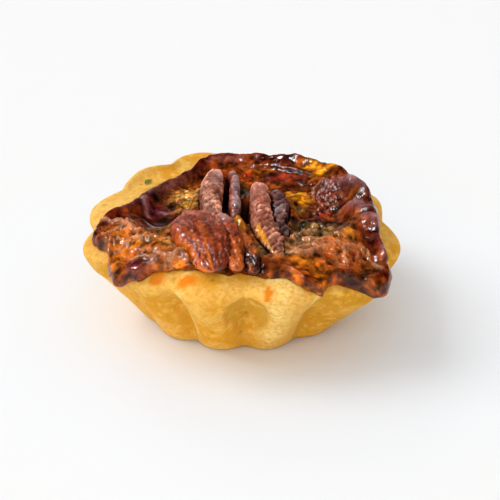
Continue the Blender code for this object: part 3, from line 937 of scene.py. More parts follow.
# %% The pecans' lobes
LOBES = {
    # keys along each lobe, from the back: x, y, height of its widest line, half width, rise, in mm;
    # then its depth at the back and at the front, how blunt its ends are and how far its crest leans
    "back_left": (
        ((-5.3, 17.8, 20.9, 1.3, 2.2), (-5.9, 13.0, 21.2, 2.1, 3.0), (-6.4, 6.0, 21.6, 2.6, 3.4),
         (-6.2, -0.5, 21.5, 2.45, 3.2), (-5.8, -8.0, 21.2, 2.2, 2.4)), (2.6, 2.6), 4.0, 0.15),
    "back_ridge": (
        ((-3.4, 15.6, 20.8, 0.7, 1.5), (-2.0, 14.3, 21.1, 1.1, 2.2), (-1.5, 9.5, 21.6, 1.15, 2.8),
         (-1.5, 3.5, 21.8, 1.3, 2.9), (-1.4, -1.0, 21.7, 1.35, 2.7), (-1.4, -5.4, 21.4, 1.2, 1.9)),
        (2.6, 2.6), 9.0, 0.0),
    "back_right": (
        ((3.5, 10.6, 20.8, 2.1, 2.6), (3.6, 4.5, 21.3, 2.3, 3.1), (3.8, -2.0, 21.4, 2.4, 3.1),
         (4.1, -7.0, 21.3, 2.5, 2.4), (5.4, -12.0, 21.4, 2.7, 1.6), (6.4, -16.0, 21.4, 2.1, 1.2),
         (7.4, -21.5, 21.0, 0.9, 0.6)), (2.6, 1.0), 9.0, 0.0),
    "front_left": (
        ((-8.2, -3.2, 21.6, 2.8, 1.9), (-9.3, -8.0, 21.8, 4.7, 3.3), (-8.4, -14.0, 21.9, 4.9, 3.9),
         (-6.4, -20.0, 21.9, 4.5, 3.8), (-4.9, -27.0, 21.8, 3.5, 2.3)), (3.0, 0.6), 7.0, 0.3),
    "front_middle": (
        ((-4.4, -5.6, 22.0, 1.2, 1.9), (-3.0, -10.0, 22.2, 1.9, 2.6), (-1.5, -14.8, 22.3, 1.7, 2.9),
         (-0.95, -19.8, 22.3, 1.7, 2.8), (-0.8, -27.2, 22.0, 1.7, 1.7)), (2.8, 0.6), 10.0, 0.0),
    "front_right": (
        ((-0.5, -11.4, 21.6, 0.9, 1.4), (0.6, -15.6, 21.8, 1.3, 2.0), (1.6, -19.5, 21.8, 1.6, 2.1),
         (2.1, -23.0, 21.8, 1.8, 1.9), (2.2, -27.0, 21.5, 1.7, 1.1)), (2.6, 0.6), 8.0, 0.0),
    "side_long": (
        ((6.6, 9.2, 20.8, 1.4, 1.3), (7.5, 4.5, 21.0, 2.0, 1.9), (7.9, -0.5, 21.0, 2.0, 2.0),
         (7.7, -5.8, 20.8, 1.6, 1.6)), (2.0, 2.0), 4.0, 0.0),
    "side_small": (
        ((6.9, -5.6, 20.8, 1.3, 1.3), (7.8, -8.0, 20.9, 1.6, 1.5), (8.8, -10.6, 20.7, 1.1, 1.1)),
        (1.6, 1.2), 2.6, 0.0),
}
UPWARD = np.array([0, 0, 1])
END_ROUNDING = 0.45
ARCH_FULLNESS = 2.7
DEPTH_CHANGE = 1.4
LOBE_RINGS = 150
LOBE_STEPS = 128


def lobe_rings(name, narrowed=1.0, count=LOBE_RINGS, steps=LOBE_STEPS):
    """Rings of one lobe round its middle line, and their shares, directions and sizes. The section
    is |across|^2.7 + |up|^2.7 = 1, times the half width, and the rise above or the depth below. All
    of it shrinks at the ends by (1 - |2 s - 1|^bluntness)^0.45. narrowed scales the width alone."""
    keys, depth, blunt, lean = LOBES[name]
    keys = np.array(keys) * MM
    shares = (1 - np.cos(np.linspace(0, np.pi, count + 2)[1:-1])) / 2
    line = through(keys, shares * (len(keys) - 1))
    middle, half, rise = line[:, :3], line[:, 3:4], line[:, 4:5]
    ahead = np.gradient(middle, axis=0) * np.array([1, 1, 0])
    ahead /= np.linalg.norm(ahead, axis=1, keepdims=True)
    side = np.cross(ahead, np.array([0, 0, -1]))
    swell = ((1 - np.abs(2 * shares - 1) ** blunt) ** END_ROUNDING)[:, None]
    below = (depth[0] + (depth[1] - depth[0]) * np.minimum(shares * DEPTH_CHANGE, 1))[:, None] * MM
    turn = np.linspace(0, 2 * np.pi, steps, endpoint=False)
    across = np.sign(np.cos(turn)) * np.abs(np.cos(turn)) ** (2 / ARCH_FULLNESS)
    up = np.sign(np.sin(turn)) * np.abs(np.sin(turn)) ** (2 / ARCH_FULLNESS)
    wide = half * narrowed * swell * (across + lean * held(up))
    high = swell * np.where(up > 0, rise, below) * up
    rings = middle[:, None] + side[:, None] * wide[..., None] + UPWARD * high[..., None]
    return rings, keys[[0, -1], :3], shares[:, None], across, up, half / MM


# %% [markdown]
# The nuts were pressed into soft caramel, so none of it may stand inside a nut. Cutting one mesh out
# of the other would leave ragged edges. Instead a map in plan keeps how low each lobe reaches.


# %% The dip under each lobe
SIDE_HELD = 0.86
SHADOW_STEP = 0.15 * MM
SHADOW_SIZE = 64 * MM
CLEARANCE = 0.12 * MM


def dip_map(name):
    """Lowest height of a lobe on a square grid in plan, or a high value where it has none, found by
    dropping a dense set of its points into the grid. The lobe is taken a little narrower than it is,
    so that the caramel meets its sides and leaves no gap."""
    rings = lobe_rings(name, SIDE_HELD, 600, 400)[0]
    count = int(SHADOW_SIZE / SHADOW_STEP)
    lowest = np.full((count, count), 1.0)
    column = ((rings[..., :2] + SHADOW_SIZE / 2) / SHADOW_STEP).astype(int)
    np.minimum.at(lowest, (column[..., 0].ravel(), column[..., 1].ravel()), rings[..., 2].ravel())
    return lowest


def widened(lowest):
    """Each grid square takes the lowest value of itself and its eight neighbours."""
    turned = [np.roll(lowest, step, (0, 1)) for step in itertools.product((-1, 0, 1), repeat=2)]
    return np.min(turned, axis=0)


# %% [markdown]
# Syrup climbs a little where it meets a nut, because it wets the skin. The climb is highest at the
# nut's own outline and falls off as the square of the distance from it.

# %% The collar round each lobe
COLLAR_BELOW = 0.3 * MM
COLLAR_REACH = 1.5 * MM
COLLAR_RISE = 1.6 * MM


def outline_of(name, count=24):
    """The lobe's widest line as a closed loop of points (x, y, z)."""
    rings, ends, *_ = lobe_rings(name, 1.0, count, 4)
    return np.concatenate([ends[:1], rings[:, 2], ends[1:], rings[::-1, 0], ends[:1]])


def climbed(points, loop, wanted):
    """Points raised towards a loop: up to its height less 0.3 mm, falling off as the square of the
    distance from it, by no more than 1.6 mm, and only as far as a share for each point allows."""
    nearest = np.full(points.shape[:-1], 1.0)
    height = np.zeros_like(nearest)
    for start, end in zip(loop[:-1], loop[1:]):
        along = end - start
        flat = along[:2]
        share = held(((points[..., :2] - start[:2]) @ flat) / max(flat @ flat, 1e-12))
        away = np.linalg.norm(points[..., :2] - start[:2] - share[..., None] * flat, axis=-1)
        height = np.where(away < nearest, start[2] + share * along[2], height)
        nearest = np.minimum(nearest, away)
    top = height - COLLAR_BELOW - MM * (nearest / COLLAR_REACH) ** 2
    rise = np.clip(top - points[..., 2], 0, COLLAR_RISE) * (nearest < 4 * MM) * wanted
    return points + UPWARD * rise[..., None]


# %% [markdown]
# The relief is added to the sheet first, then the collars, and the dips come last, so that nothing
# pokes up into a nut.


# %% Press the pecans in
dips = [widened(dip_map(name)) for name in LOBES]
raised = sheet + stands * (relief * MM)[..., None]
for name in LOBES:
    raised = climbed(raised, outline_of(name), 1 - grooved)
column = ((raised[..., :2] + SHADOW_SIZE / 2) / SHADOW_STEP).astype(int)
column = np.clip(column, 0, len(dips[0]) - 1)
ceiling = np.min([dip[column[..., 0], column[..., 1]] for dip in dips], axis=0) - CLEARANCE
under_nut = raised[..., 2] > ceiling
raised[..., 2] = np.minimum(raised[..., 2], ceiling)
print("points pressed down by the pecans: %d" % under_nut.sum())

# %% [markdown]
# ## The caramel's colour
# Caramel is clear syrup, so its colour tells its thickness: thin skin is amber, a thick bead is red
# brown, and the deep pool is nearly black. Dry ridges are painted pale pink, partly as dry skin and
# partly as painted sheen. The colours start from the relief itself, and spots then set the places that
# stand out. Painted shade darkens the hollows and the caramel between and under the nuts, and painted
# sheen and reflections lie on the ropes and in the pool.

# %% The caramel's colour
INK_AND_SHADE = (0.010, 0.004, 0.002)
DEEP_RED = (0.100, 0.009, 0.003)
RED_GLOW = (0.32, 0.022, 0.003)
RED_BROWN = (0.18, 0.026, 0.006)
RUST = (0.36, 0.066, 0.006)
ORANGE = (0.66, 0.17, 0.006)
BRIGHT_ORANGE = (0.88, 0.32, 0.008)
AMBER = (0.32, 0.14, 0.014)
GOLD = (0.55, 0.27, 0.04)
OLIVE = (0.085, 0.055, 0.014)
PALE_SKIN_AND_SHEEN = (0.56, 0.26, 0.12)
PURPLE = (0.10, 0.008, 0.016)
LILAC_SHEEN = (0.36, 0.15, 0.15)
RIM_BAND = 1.5 * MM
GLOW_WIDTH = 1.2 * MM
DRY_EDGE = 0.9 * MM

warm = rough(sheet / (4.5 * MM), 121, 4)
tint = all_over(sheet, RED_BROWN)
tint = mix(tint, RUST, 0.4 + 1.3 * warm)
tint = mix(tint, DEEP_RED, 0.2 - 1.6 * warm)
front_side = np.clip(1.2 - sheet[..., 1] / (10 * MM), 0.1, 1)
at_front = held(-0.6 - sheet[..., 1] / (20 * MM))
rim_band = bell(inset - RIM_BAND, RIM_BAND)
tint = mix(tint, DEEP_RED, 0.7 * rim_band * (1 - at_front))
edge_glow = bell(inset, GLOW_WIDTH) * at_front
tint = mix(tint, ORANGE, 0.9 * edge_glow * (0.7 + 1.5 * rough(sheet / (2 * MM), 127, 3)))

# %% [markdown]
# No rule gives every patch of a real caramel, so the ones that stand out are placed one by one.
# Noise makes their borders wander, and later rows cover earlier ones.

# %% Places that stand out
TINTED = (
    # colour, strength, then spots as x, y, half width, half depth, turn
    (RUST, 0.8, ((-20, -14, 6, 6), (14, -24, 8, 3.4), (17, -18, 6, 3))),
    (ORANGE, 0.75, ((-23.5, -14.0, 2.6, 3.6), (-20.6, -15.4, 2.4, 2.0), (-24.2, -19.2, 1.3, 1.6),
                    (11.6, -22.8, 3.2, 1.5), (14.6, -25.4, 1.4, 2.4), (16.0, -14.3, 2.8, 1.6),
                    (27.8, -15.6, 0.9, 2.4), (26.2, -10.4, 1.2, 1.2), (22.6, 5.0, 1.2, 0.8),
                    (23.6, -3.8, 1.0, 0.8), (-12.0, -23.0, 3.0, 0.8),
                    (24.6, -27.0, 2.4, 0.8), (6.6, 16.8, 2.4, 1.4), (3.4, 20.4, 3.0, 1.4))),
    (BRIGHT_ORANGE, 0.95, ((15.6, 20.2, 2.2, 1.6, -15), (19.4, 18.4, 1.9, 1.2, -20),
                           (16.4, 17.0, 1.4, 1.0), (20.7, -12.3, 1.0, 1.3), (11.4, 9.8, 2.1, 2.4),
                           (12.8, 7.6, 1.5, 2.2), (-0.7, -6.3, 2.6, 1.1, -62))),
    (AMBER, 0.85, ((11.9, 3.2, 1.4, 1.4), (-16.0, -7.7, 1.9, 2.0), (-12.8, -17.2, 3.0, 1.8),
                   (-16.4, -15.4, 1.6, 1.4), (-10.2, 4.0, 3.0, 2.4),
                   (8.0, -18.0, 2.0, 2.6), (14.6, -9.0, 1.6, 1.4))),
    (GOLD, 0.85, ((-11.6, 9.6, 2.6, 3.8), (-15.0, -12.6, 0.9, 0.9))),
    (OLIVE, 0.9, ((11.2, -14.2, 3.6, 4.8), (15.6, -8.8, 5.0, 3.6), (10.6, -9.0, 2.4, 2.4),
                  (25.8, -20.0, 1.0, 1.8), (4.0, -18.0, 1.4, 5.0, 15), (0.6, 11.0, 1.0, 3.0))),
    (DEEP_RED, 0.85, ((-26.6, -6.6, 1.3, 1.6), (-24.6, -11.6, 1.2, 1.0), (12.6, -20.2, 2.6, 1.0),
                      (17.0, 6.0, 3.4, 7.0), (7.6, 18.4, 3.0, 2.4), (21.4, -18.6, 2.6, 2.0),
                      (-19.4, 9.0, 2.2, 4.0), (-22.6, -24.0, 2.0, 2.0), (25.2, -11.6, 2.2, 3.4),
                      (-15.0, 13.0, 2.6, 2.6), (23.4, -1.6, 3.4, 2.6, -58),
                      (21.8, 7.4, 3.4, 2.4, -42), (26.0, -14.0, 2.0, 3.0),
                      (-22.4, 2.6, 2.4, 4.4), (25.4, -23.0, 3.0, 2.0), (20.4, -24.6, 3.0, 1.6))),
    (RED_GLOW, 0.9, ((16.2, 1.2, 1.7, 1.3), (8.0, 18.4, 3.2, 1.0), (1.0, 20.2, 2.2, 1.0))),
    (OLIVE, 0.9, ((13.8, -5.2, 4.4, 2.2),)),
    (PURPLE, 0.9, ((-19.6, -20.8, 1.6, 1.6), (-22.2, -23.6, 1.6, 1.3), (-17.0, 3.4, 2.6, 2.4))),
    # near black: the deep pool, and painted shade in the creases between the rim lumps and in other
    # hollows
    (INK_AND_SHADE, 0.8, ((13.6, -1.6, 2.8, 1.1), (18.8, -1.6, 1.3, 2.4), (10.8, -2.6, 1.6, 1.2),
                (-15.6, 0.2, 2.2, 1.6), (-17.6, 8.6, 1.0, 2.0), (-14.8, 5.6, 1.4, 1.6),
                (12.4, 1.0, 2.6, 0.8), (10.6, -6.4, 1.7, 0.8), (23.0, -24.2, 1.1, 2.4),
                (19.6, 2.2, 1.2, 2.6), (22.8, 16.8, 2.0, 1.4, -40), (8.6, -21.6, 1.4, 0.6),
                (22.4, 2.8, 2.2, 0.7, 12), (24.4, -5.2, 1.8, 0.5, -12),
                (26.8, -11.0, 1.8, 0.5, -14), (11.2, 5.4, 1.0, 3.0),
                (8.4, -7.6, 1.0, 2.6, -15), (23.4, -21.4, 1.4, 1.0),
                (9.4, -13.6, 0.9, 1.0), (-13.4, -1.8, 1.6, 1.4))),
)
edge_wander = 1 + 0.9 * rough(sheet / (1.5 * MM), 131, 3)
for colour, strength, places_of_it in TINTED:
    tint = mix(tint, colour, strength * 1.25 * spots(sheet, places_of_it) * edge_wander)

print("tinted places: %d" % sum(len(places_of_it) for _, _, places_of_it in TINTED))

# %% [markdown]
# Relief and colour belong together: the heights that shaped the skin now shade it as well. What stands
# up is painted lighter and what lies low is painted darker, and the dips between two bubbles or two
# grains are painted dark: painted light and shade from the relief.

# %% What the relief does to the colour
cell_light = held(0.5 + cell_mood) * wrinkled
tint = mix(tint, ORANGE, 0.35 * cell_light * bulge)
tint = mix(tint, GOLD, 0.5 * foamed * held(foam_mood))
tint = mix(tint, PALE_SKIN_AND_SHEEN, 0.9 * foamed * held(foam_mood - 0.55))
# painted shade between the bubbles
tint = mix(tint, INK_AND_SHADE, 0.45 * foamed * (1 - foam_dome) ** 2)
tint = mix(tint, PALE_SKIN_AND_SHEEN, 0.35 * grained * held(grain_mood - 0.3))
# painted shade between the grains
tint = mix(tint, INK_AND_SHADE, 0.7 * grained * (1 - grain_dome) ** 2)
# painted light and shade: raised relief lighter, low relief darker
shade = np.clip(1 + 2.8 * (small - small.mean()) + 1.1 * pimples, 0.2, 2.0)
tint = 0.94 * tint * shade[..., None]
wet_corner = spot(sheet, 23.0, -22.0, 4.5, 3.0)
# pale ridges on folds and wrinkles: dry skin, and partly painted sheen
pale = held(fold + 0.3 * wrinkled * coarse) * (1 - 0.75 * wet_corner)
tint = mix(tint, PALE_SKIN_AND_SHEEN, 0.8 * pale * front_side)
# painted sheen: lilac on the crests of the rim ropes
tint = mix(tint, LILAC_SHEEN, 0.65 * held(sheen + 0.5 * rope**4) * (0.75 + 1.5 * warm))
# painted reflections: lilac streaks in the pool
tint = mix(tint, LILAC_SHEEN, 0.75 * shine)
# painted reflection: a grey crescent at the edge of the pool
tint = mix(tint, PAINTED_REFLECTION_GREY, 0.8 * bell(from_line(sheet, POOL_REFLECTION), POOL_REFLECTION_WIDTH))
# painted shade: the caramel in the gaps between lobes and under the nuts is darkened to near black
tint = mix(tint, INK_AND_SHADE, 0.97 * grooved)
tint = mix(tint, INK_AND_SHADE, 0.85 * under_nut)

# %% [markdown]
# The sheet needs an underside to be a solid food, so its rings carry on under the edge and over the
# pastry to the floor of the hollow. Three values go along with the colour, for the material to read:
# how dry the skin is, where it has a lace of fine wrinkles, and where it foamed.

# %% Close the caramel
under = caramel_underside(turns)
under_tint = all_over(under, RED_BROWN)
caramel_rings = np.concatenate([under, raised])
caramel_tint = np.concatenate([under_tint, tint])


def with_underside(field):
    """A field of the top, with zeros for the rings of the underside."""
    return np.concatenate([np.zeros(under.shape[:2]), held(field)])


finish = {
    "dry": with_underside(
        0.8 * pale + 0.6 * grained + 0.45 * right_rope + 0.8 * spot(sheet, 8.5, 18.6, 6.5, 2.4)
        + bell(inset, DRY_EDGE)
    ),
    "lace": with_underside(wrinkled * front_side * (1 - spot(sheet, 23.0, -22.0, 4.5, 3.5))),
    "foam": with_underside(0.35 + foamed - still),
}
caramel_poles = np.array([[0, 0, FLOOR_THICKNESS + SHELF_GAP], raised[-1].mean(axis=0)])
caramel = closed_piece(
    "caramel_filling", [(caramel_rings, caramel_poles, caramel_tint, finish)], "filling"
)

# %% [markdown]
# ## The pecans
# A pecan half has two fat lobes with a ridge between them, and its skin is ribbed across and wrinkled
# along. It could be one block with grooves cut in, but the gaps between the lobes are deep and dark,
# so each lobe is a closed shell of its own, an arched section carried along a line, and a nut is
# its lobes in one mesh. The ribs are evenly spaced furrows, bent by noise so that they don't read as
# stripes. Deep creases are nearly black, because hardly any light gets in.

# %% The colours of pecan skin
NUT_PINK = (1.0, 0.415, 0.26)
NUT_BROWN = (0.16, 0.024, 0.010)
NUT_RED = (0.42, 0.060, 0.014)
NUT_GREY = (0.235, 0.165, 0.175)
NUT_LILAC_AND_SHEEN = (0.66, 0.37, 0.34)
NUT_DARK_AND_SHADE = (0.010, 0.005, 0.004)
GLAZE_ORANGE = (0.70, 0.145, 0.005)

# %% [markdown]
# Every lobe is made in the same way: creases and ribs press its smooth shell inwards, and its colours
# start from the same heights, with painted shade where the skin is pressed in and painted light where
# it stands. What differs from lobe to lobe is given as numbers, or painted on afterwards.

# %% One lobe
CREASE_WIDTH = 0.18
RIB_SHARPNESS = 0.5
RIB_BEND = 0.6
RIB_BEND_SIZE = 2.5 * MM
CRUMPLE_SIZE = 1.1 * MM
SKIN_FOLD_SIZE = 0.5 * MM
BLOTCH_SIZE = 2.2 * MM
FINER = 2.3
END_FADE = 9


def creased(along, across, seed):
    """Skin with sharp creases: noise over the two directions, deep where the noise crosses zero."""
    where = np.stack([along, across, 0 * along], -1)
    swellings = noise(where, seed) + 0.5 * noise(2.1 * where, seed + 1)
    return bell(swellings, CREASE_WIDTH), swellings


class Lobe:
    """One wrinkled lobe, with what its colours go by at each point: shares, from 0 at the back to 1
    at the front, across, from -1 to 1, low, from 0 on top to 1 at the foot, and swellings.

    pitch is the mm from wrinkle to wrinkle along it, stretch how many times longer than that they
    are across, lean how much they slant, and deep their depth in mm. rib is the mm between cross
    ribs, furrows where sin(pi * length / rib) is near 0, and ribbed is their strength."""

    def __init__(self, name, base, dark, pitch, stretch, lean, deep, seed, rib=1.4, ribbed=1.0):
        rings, self.poles, shares, across, up, half = lobe_rings(name)
        steps = np.diff(rings.mean(axis=1), axis=0, prepend=rings[:1].mean(axis=1))
        length = np.cumsum(np.linalg.norm(steps, axis=-1))[:, None] / MM
        over = half * across
        slanted = length + lean * over - 0.05 * over**2
        along, beside = slanted / pitch, (over - 0.3 * length) / (pitch * stretch)
        crease, swellings = creased(along, beside, seed)
        fine, _ = creased(FINER * along, FINER * beside, seed + 3)
        turned = slanted / rib + RIB_BEND * rough(rings / RIB_BEND_SIZE, seed + 4, 2)
        ribs = ribbed * bell(np.sin(np.pi * turned), RIB_SHARPNESS)
        crumple = np.abs(rough(rings / CRUMPLE_SIZE, seed + 5, 4))
        folds = rough(rings / SKIN_FOLD_SIZE, seed + 6, 3)
        press = (
            0.8 * crease + 1.5 * ribs + 0.9 * (0.5 - 0.4 * swellings)
            + 0.5 * fine + 0.6 * crumple + 0.4 * folds
        )
        fade = np.minimum(1, END_FADE * np.minimum(shares, 1 - shares))
        normal = normals_of(rings)
        normal *= np.sign((normal * (rings - rings.mean(axis=(0, 1)))).sum())
        self.rings = rings - normal * (deep * press * fade * MM)[..., None]
        self.shares, self.across, self.swellings = shares, across + 0 * shares, swellings
        self.low = held(0.75 - 1.6 * up) + 0 * shares
        self.colour = all_over(rings, base)
        # painted shade: darker where the swellings are low and the skin is pressed in
        self.paint(dark, 0.25 - 0.6 * swellings)
        self.paint(dark, 0.15 + 1.3 * rough(self.rings / BLOTCH_SIZE, seed + 9, 4))
        # painted light and shade from the relief: lighter where the skin stands, darker in crumples
        # and ribs
        light = np.clip(1.42 - 1.2 * (crumple + 0.5 * folds) - 0.42 * ribs, 0.3, 1.8)
        self.colour = self.colour * light[..., None]
        # painted shade in the creases and ribs
        self.paint(NUT_DARK_AND_SHADE, 0.55 * crease + 0.35 * fine + 0.5 * ribs)

    def paint(self, colour, share):
        """Blends a colour in by a share for each point."""
        self.colour = mix(self.colour, colour, share)

    def shell(self, dry):
        """The shell that closed_piece takes, with how dry its skin is."""
        return self.rings, self.poles, self.colour, {"dry": dry + 0 * self.low}


# %% [markdown]
# The back pecan stands high and mostly dry: two fat lobes with a grey ridge between them. Glaze
# reached only the near half of its right lobe, where its flank shines orange.


# %% The back pecan
one = Lobe("back_left", NUT_PINK, NUT_BROWN, 1.9, 0.9, 0.35, 0.30, seed=151, rib=1.7, ribbed=0.9)
far = held(0.6 - one.shares) / 0.6
# lilac on the top at the far end, more on its left: dry skin, and partly painted sheen
one.paint(NUT_LILAC_AND_SHEEN, 0.85 * far * (1 - one.low) * held(0.8 + one.across))
one.paint(PALE_SKIN_AND_SHEEN, 0.5 * held(one.shares - 0.55) * (1 - one.low))
# painted shade: the foot is darkened, more on its right side
one.paint(NUT_BROWN, 0.8 * one.low * (one.across > 0) + 0.4 * one.low * (one.across < 0))
left = one.shell(0.4)

one = Lobe("back_ridge", NUT_GREY, NUT_BROWN, 2.2, 2.4, 0.1, 0.30, seed=155, rib=2.5, ribbed=1.2)
# lilac on the top: dry skin, and partly painted sheen
one.paint(NUT_LILAC_AND_SHEEN, 0.45 * held(0.4 + one.swellings) * (1 - one.low))
one.paint(NUT_RED, 0.8 * held(-one.across) * held(1.4 - one.low))
# painted shade at the foot
one.paint(NUT_DARK_AND_SHADE, 0.8 * one.low)
ridge = one.shell(0.3)

one = Lobe("back_right", NUT_PINK, NUT_BROWN, 1.9, 1.2, 0.6, 0.30, seed=159, rib=1.7, ribbed=0.9)
glazed = smooth(held((one.shares - 0.46) / 0.14))
flank = bell(one.across + 0.72, 0.26) * held(1.6 - one.low)
gold = glazed * flank * bell(one.shares - 0.72, 0.2, 4)
# lilac on the top at the far end: dry skin, and partly painted sheen
one.paint(NUT_LILAC_AND_SHEEN, 0.5 * held(0.3 - one.shares) / 0.3 * (1 - one.low))
one.paint(NUT_RED, 0.25 * (1 - glazed))
one.paint(NUT_BROWN, 0.4 * glazed)
one.paint(BRIGHT_ORANGE, 1.3 * gold * held(0.9 + 0.6 * one.swellings))
# painted shade at the foot, more on its right side
one.paint(NUT_DARK_AND_SHADE, 0.7 * one.low * (one.across > 0) + 0.3 * one.low)
right = one.shell(0.4 * (1 - 0.6 * glazed))
pecan_back = closed_piece("pecan_half_back", [left, ridge, right], "pecan_back")

# %% [markdown]
# The front pecan lies lower and took most of the syrup. Its far end stayed dry, and its top there is
# painted lilac, partly as painted sheen; glaze ran down its left flank in streaks, so the streaks are
# noise drawn out along the nut.

# %% The front pecan
one = Lobe("front_left", NUT_RED, NUT_BROWN, 3.4, 0.36, 0.5, 0.5, seed=171, rib=2.3, ribbed=0.4)
far_end = smooth(held((0.55 - one.shares) / 0.4)) + 0 * one.across
# lilac on the top at the far end: dry skin, and partly painted sheen
one.paint(NUT_LILAC_AND_SHEEN, 0.28 * far_end * held(0.6 + one.swellings) * (1 - one.low))
waist = held(1 - np.abs(one.shares - 0.45) / 0.25)
one.paint(NUT_PINK, 0.35 * waist * held(one.across + 0.3))
lengthways = np.stack([1.8 * one.shares + 0 * one.across, 6 * one.across, 0 * one.across], -1)
streaks = held(0.45 + 1.6 * rough(lengthways, 177, 3))
one.paint(GLAZE_ORANGE, held(0.3 - one.across) * held((one.shares - 0.4) * 3) * streaks)
one.paint(NUT_BROWN, 0.6 * held((one.shares - 0.25) * 3) * (1 - streaks))
one.paint(DEEP_RED, 0.7 * held(one.shares - 0.5) * 2 * held(one.across))
# painted shade at the foot on its right side
one.paint(NUT_DARK_AND_SHADE, 0.9 * one.low * (one.across > 0.3))
left = one.shell(0.6 * far_end)

one = Lobe("front_middle", NUT_RED, NUT_BROWN, 2.6, 0.5, 0.2, 0.3, seed=175, rib=2.6, ribbed=0.5)
# lilac on the top at the far end: dry skin, and partly painted sheen
one.paint(NUT_LILAC_AND_SHEEN, 0.7 * smooth(held((0.45 - one.shares) / 0.4)) * (1 - one.low))
one.paint(GLAZE_ORANGE, 0.6 * held(one.shares - 0.45) * 2 * held(0.6 + one.swellings))
# painted shade at the foot
one.paint(NUT_DARK_AND_SHADE, 0.85 * one.low)
middle = one.shell(0.1 + 0.5 * held(0.5 - one.shares))

one = Lobe("front_right", NUT_BROWN, NUT_DARK_AND_SHADE, 2.2, 0.8, 0.4, 0.34, seed=179, rib=2.4, ribbed=0.6)
one.paint(GLAZE_ORANGE, 0.6 * held(0.2 + one.swellings))
# painted shade at the foot
one.paint(NUT_DARK_AND_SHADE, 0.8 * one.low)
right = one.shell(0.1)
pecan_front = closed_piece("pecan_half_front", [left, middle, right], "pecan_front")

# %% [markdown]
# The piece at the side is a broken bit of nut, grey where it stayed above the syrup and brown at its
# foot, which is also darkened as painted shade. Two lobes are enough for it: a long one with coarse
# ribs and a small one in front of it.

# %% The side pecan
one = Lobe("side_long", NUT_GREY, NUT_BROWN, 3.4, 1.4, 0.8, 0.38, seed=191, rib=3.0, ribbed=1.6)
# lilac on the top: dry skin, and partly painted sheen
one.paint(NUT_LILAC_AND_SHEEN, 0.6 * held(0.3 + one.swellings) * (1 - one.low))
one.paint(NUT_BROWN, 0.5 * held(one.shares - 0.6) * 2)
# painted shade at the foot
one.paint(NUT_DARK_AND_SHADE, 0.8 * one.low)
long = one.shell(0.3)

one = Lobe("side_small", NUT_BROWN, NUT_DARK_AND_SHADE, 1.6, 1.5, 0.5, 0.3, seed=195)
one.paint(NUT_GREY, 0.5 * held(0.3 + one.swellings))
# painted shade at the foot
one.paint(NUT_DARK_AND_SHADE, 0.7 * one.low)
short = one.shell(0.2)
pecan_side = closed_piece("pecan_piece_side", [long, short], "pecan_side")

# %% [markdown]
# ## A fleck of herb
# A green fleck lies on the lip at the back left. It is a small curled leaf: a pointed oval, bent
# along its length, with a little thickness, laid on the pastry where the lip is.

# %% The herb fleck
HERB_PLACE = (-19.9, 15.6)
HERB_LENGTH = 2.6 * MM
HERB_WIDTH = 1.1 * MM
HERB_THICKNESS = 0.12 * MM
HERB_ARCH = 0.5 * MM
HERB_FOOTPRINT = 1.2 * MM
HERB_TURN = np.radians(62)
HERB_GREEN = (0.10, 0.17, 0.004)


def herb_rings(count=24, around_it=20):
    """A pointed oval: half width sin(pi s)^0.8 along the length, bent up by s (1 - s) in the middle
    and by the square of the distance sideways, with an oval section around its own length."""
    s = np.linspace(0, 1, count + 2)[1:-1][:, None]
    turn = np.linspace(0, 2 * np.pi, around_it, endpoint=False)
    half = np.sin(np.pi * s) ** 0.8
    along = (s - 0.5) * HERB_LENGTH + 0 * turn
    sideways = half * HERB_WIDTH / 2 * np.cos(turn)
    cupped = 0.5 * sideways**2 / HERB_WIDTH
    up = half * HERB_THICKNESS / 2 * np.sin(turn) + HERB_ARCH * s * (1 - s) + cupped
    return np.stack([along, sideways, up], -1)


def lay_on_pastry(points):
    """Turns the fleck in plan, moves it to its place and lifts it onto the pastry there."""
    x, y = points[..., 0], points[..., 1]
    turned_x = x * np.cos(HERB_TURN) - y * np.sin(HERB_TURN) + HERB_PLACE[0] * MM
    turned_y = x * np.sin(HERB_TURN) + y * np.cos(HERB_TURN) + HERB_PLACE[1] * MM
    visible = (places > LIP_TIP + 0.5) & (places <= SHELF_EDGE)
    flat = crust_points[visible].reshape(-1, 3)
    away = np.hypot(flat[:, 0] - HERB_PLACE[0] * MM, flat[:, 1] - HERB_PLACE[1] * MM)
    ground = flat[away < HERB_FOOTPRINT, 2].max()
    return np.stack([turned_x, turned_y, ground + points[..., 2]], -1)


herb_points = herb_rings()
herb_ends = np.array([[-HERB_LENGTH / 2, 0, 0], [HERB_LENGTH / 2, 0, 0]])
herb_colour = all_over(herb_points, HERB_GREEN)
herb = closed_piece(
    "herb_fleck",
    [(lay_on_pastry(herb_points), lay_on_pastry(herb_ends), herb_colour, {})],
)

# %% [markdown]
# ## Materials
# All the foods read the colour that their surface carries, and add what is too small for the mesh.
# The nodes could be wired by hand in the editor. A small helper that holds the material and its
# shader does the same in code, and keeps each finish to a few lines that read like a recipe.


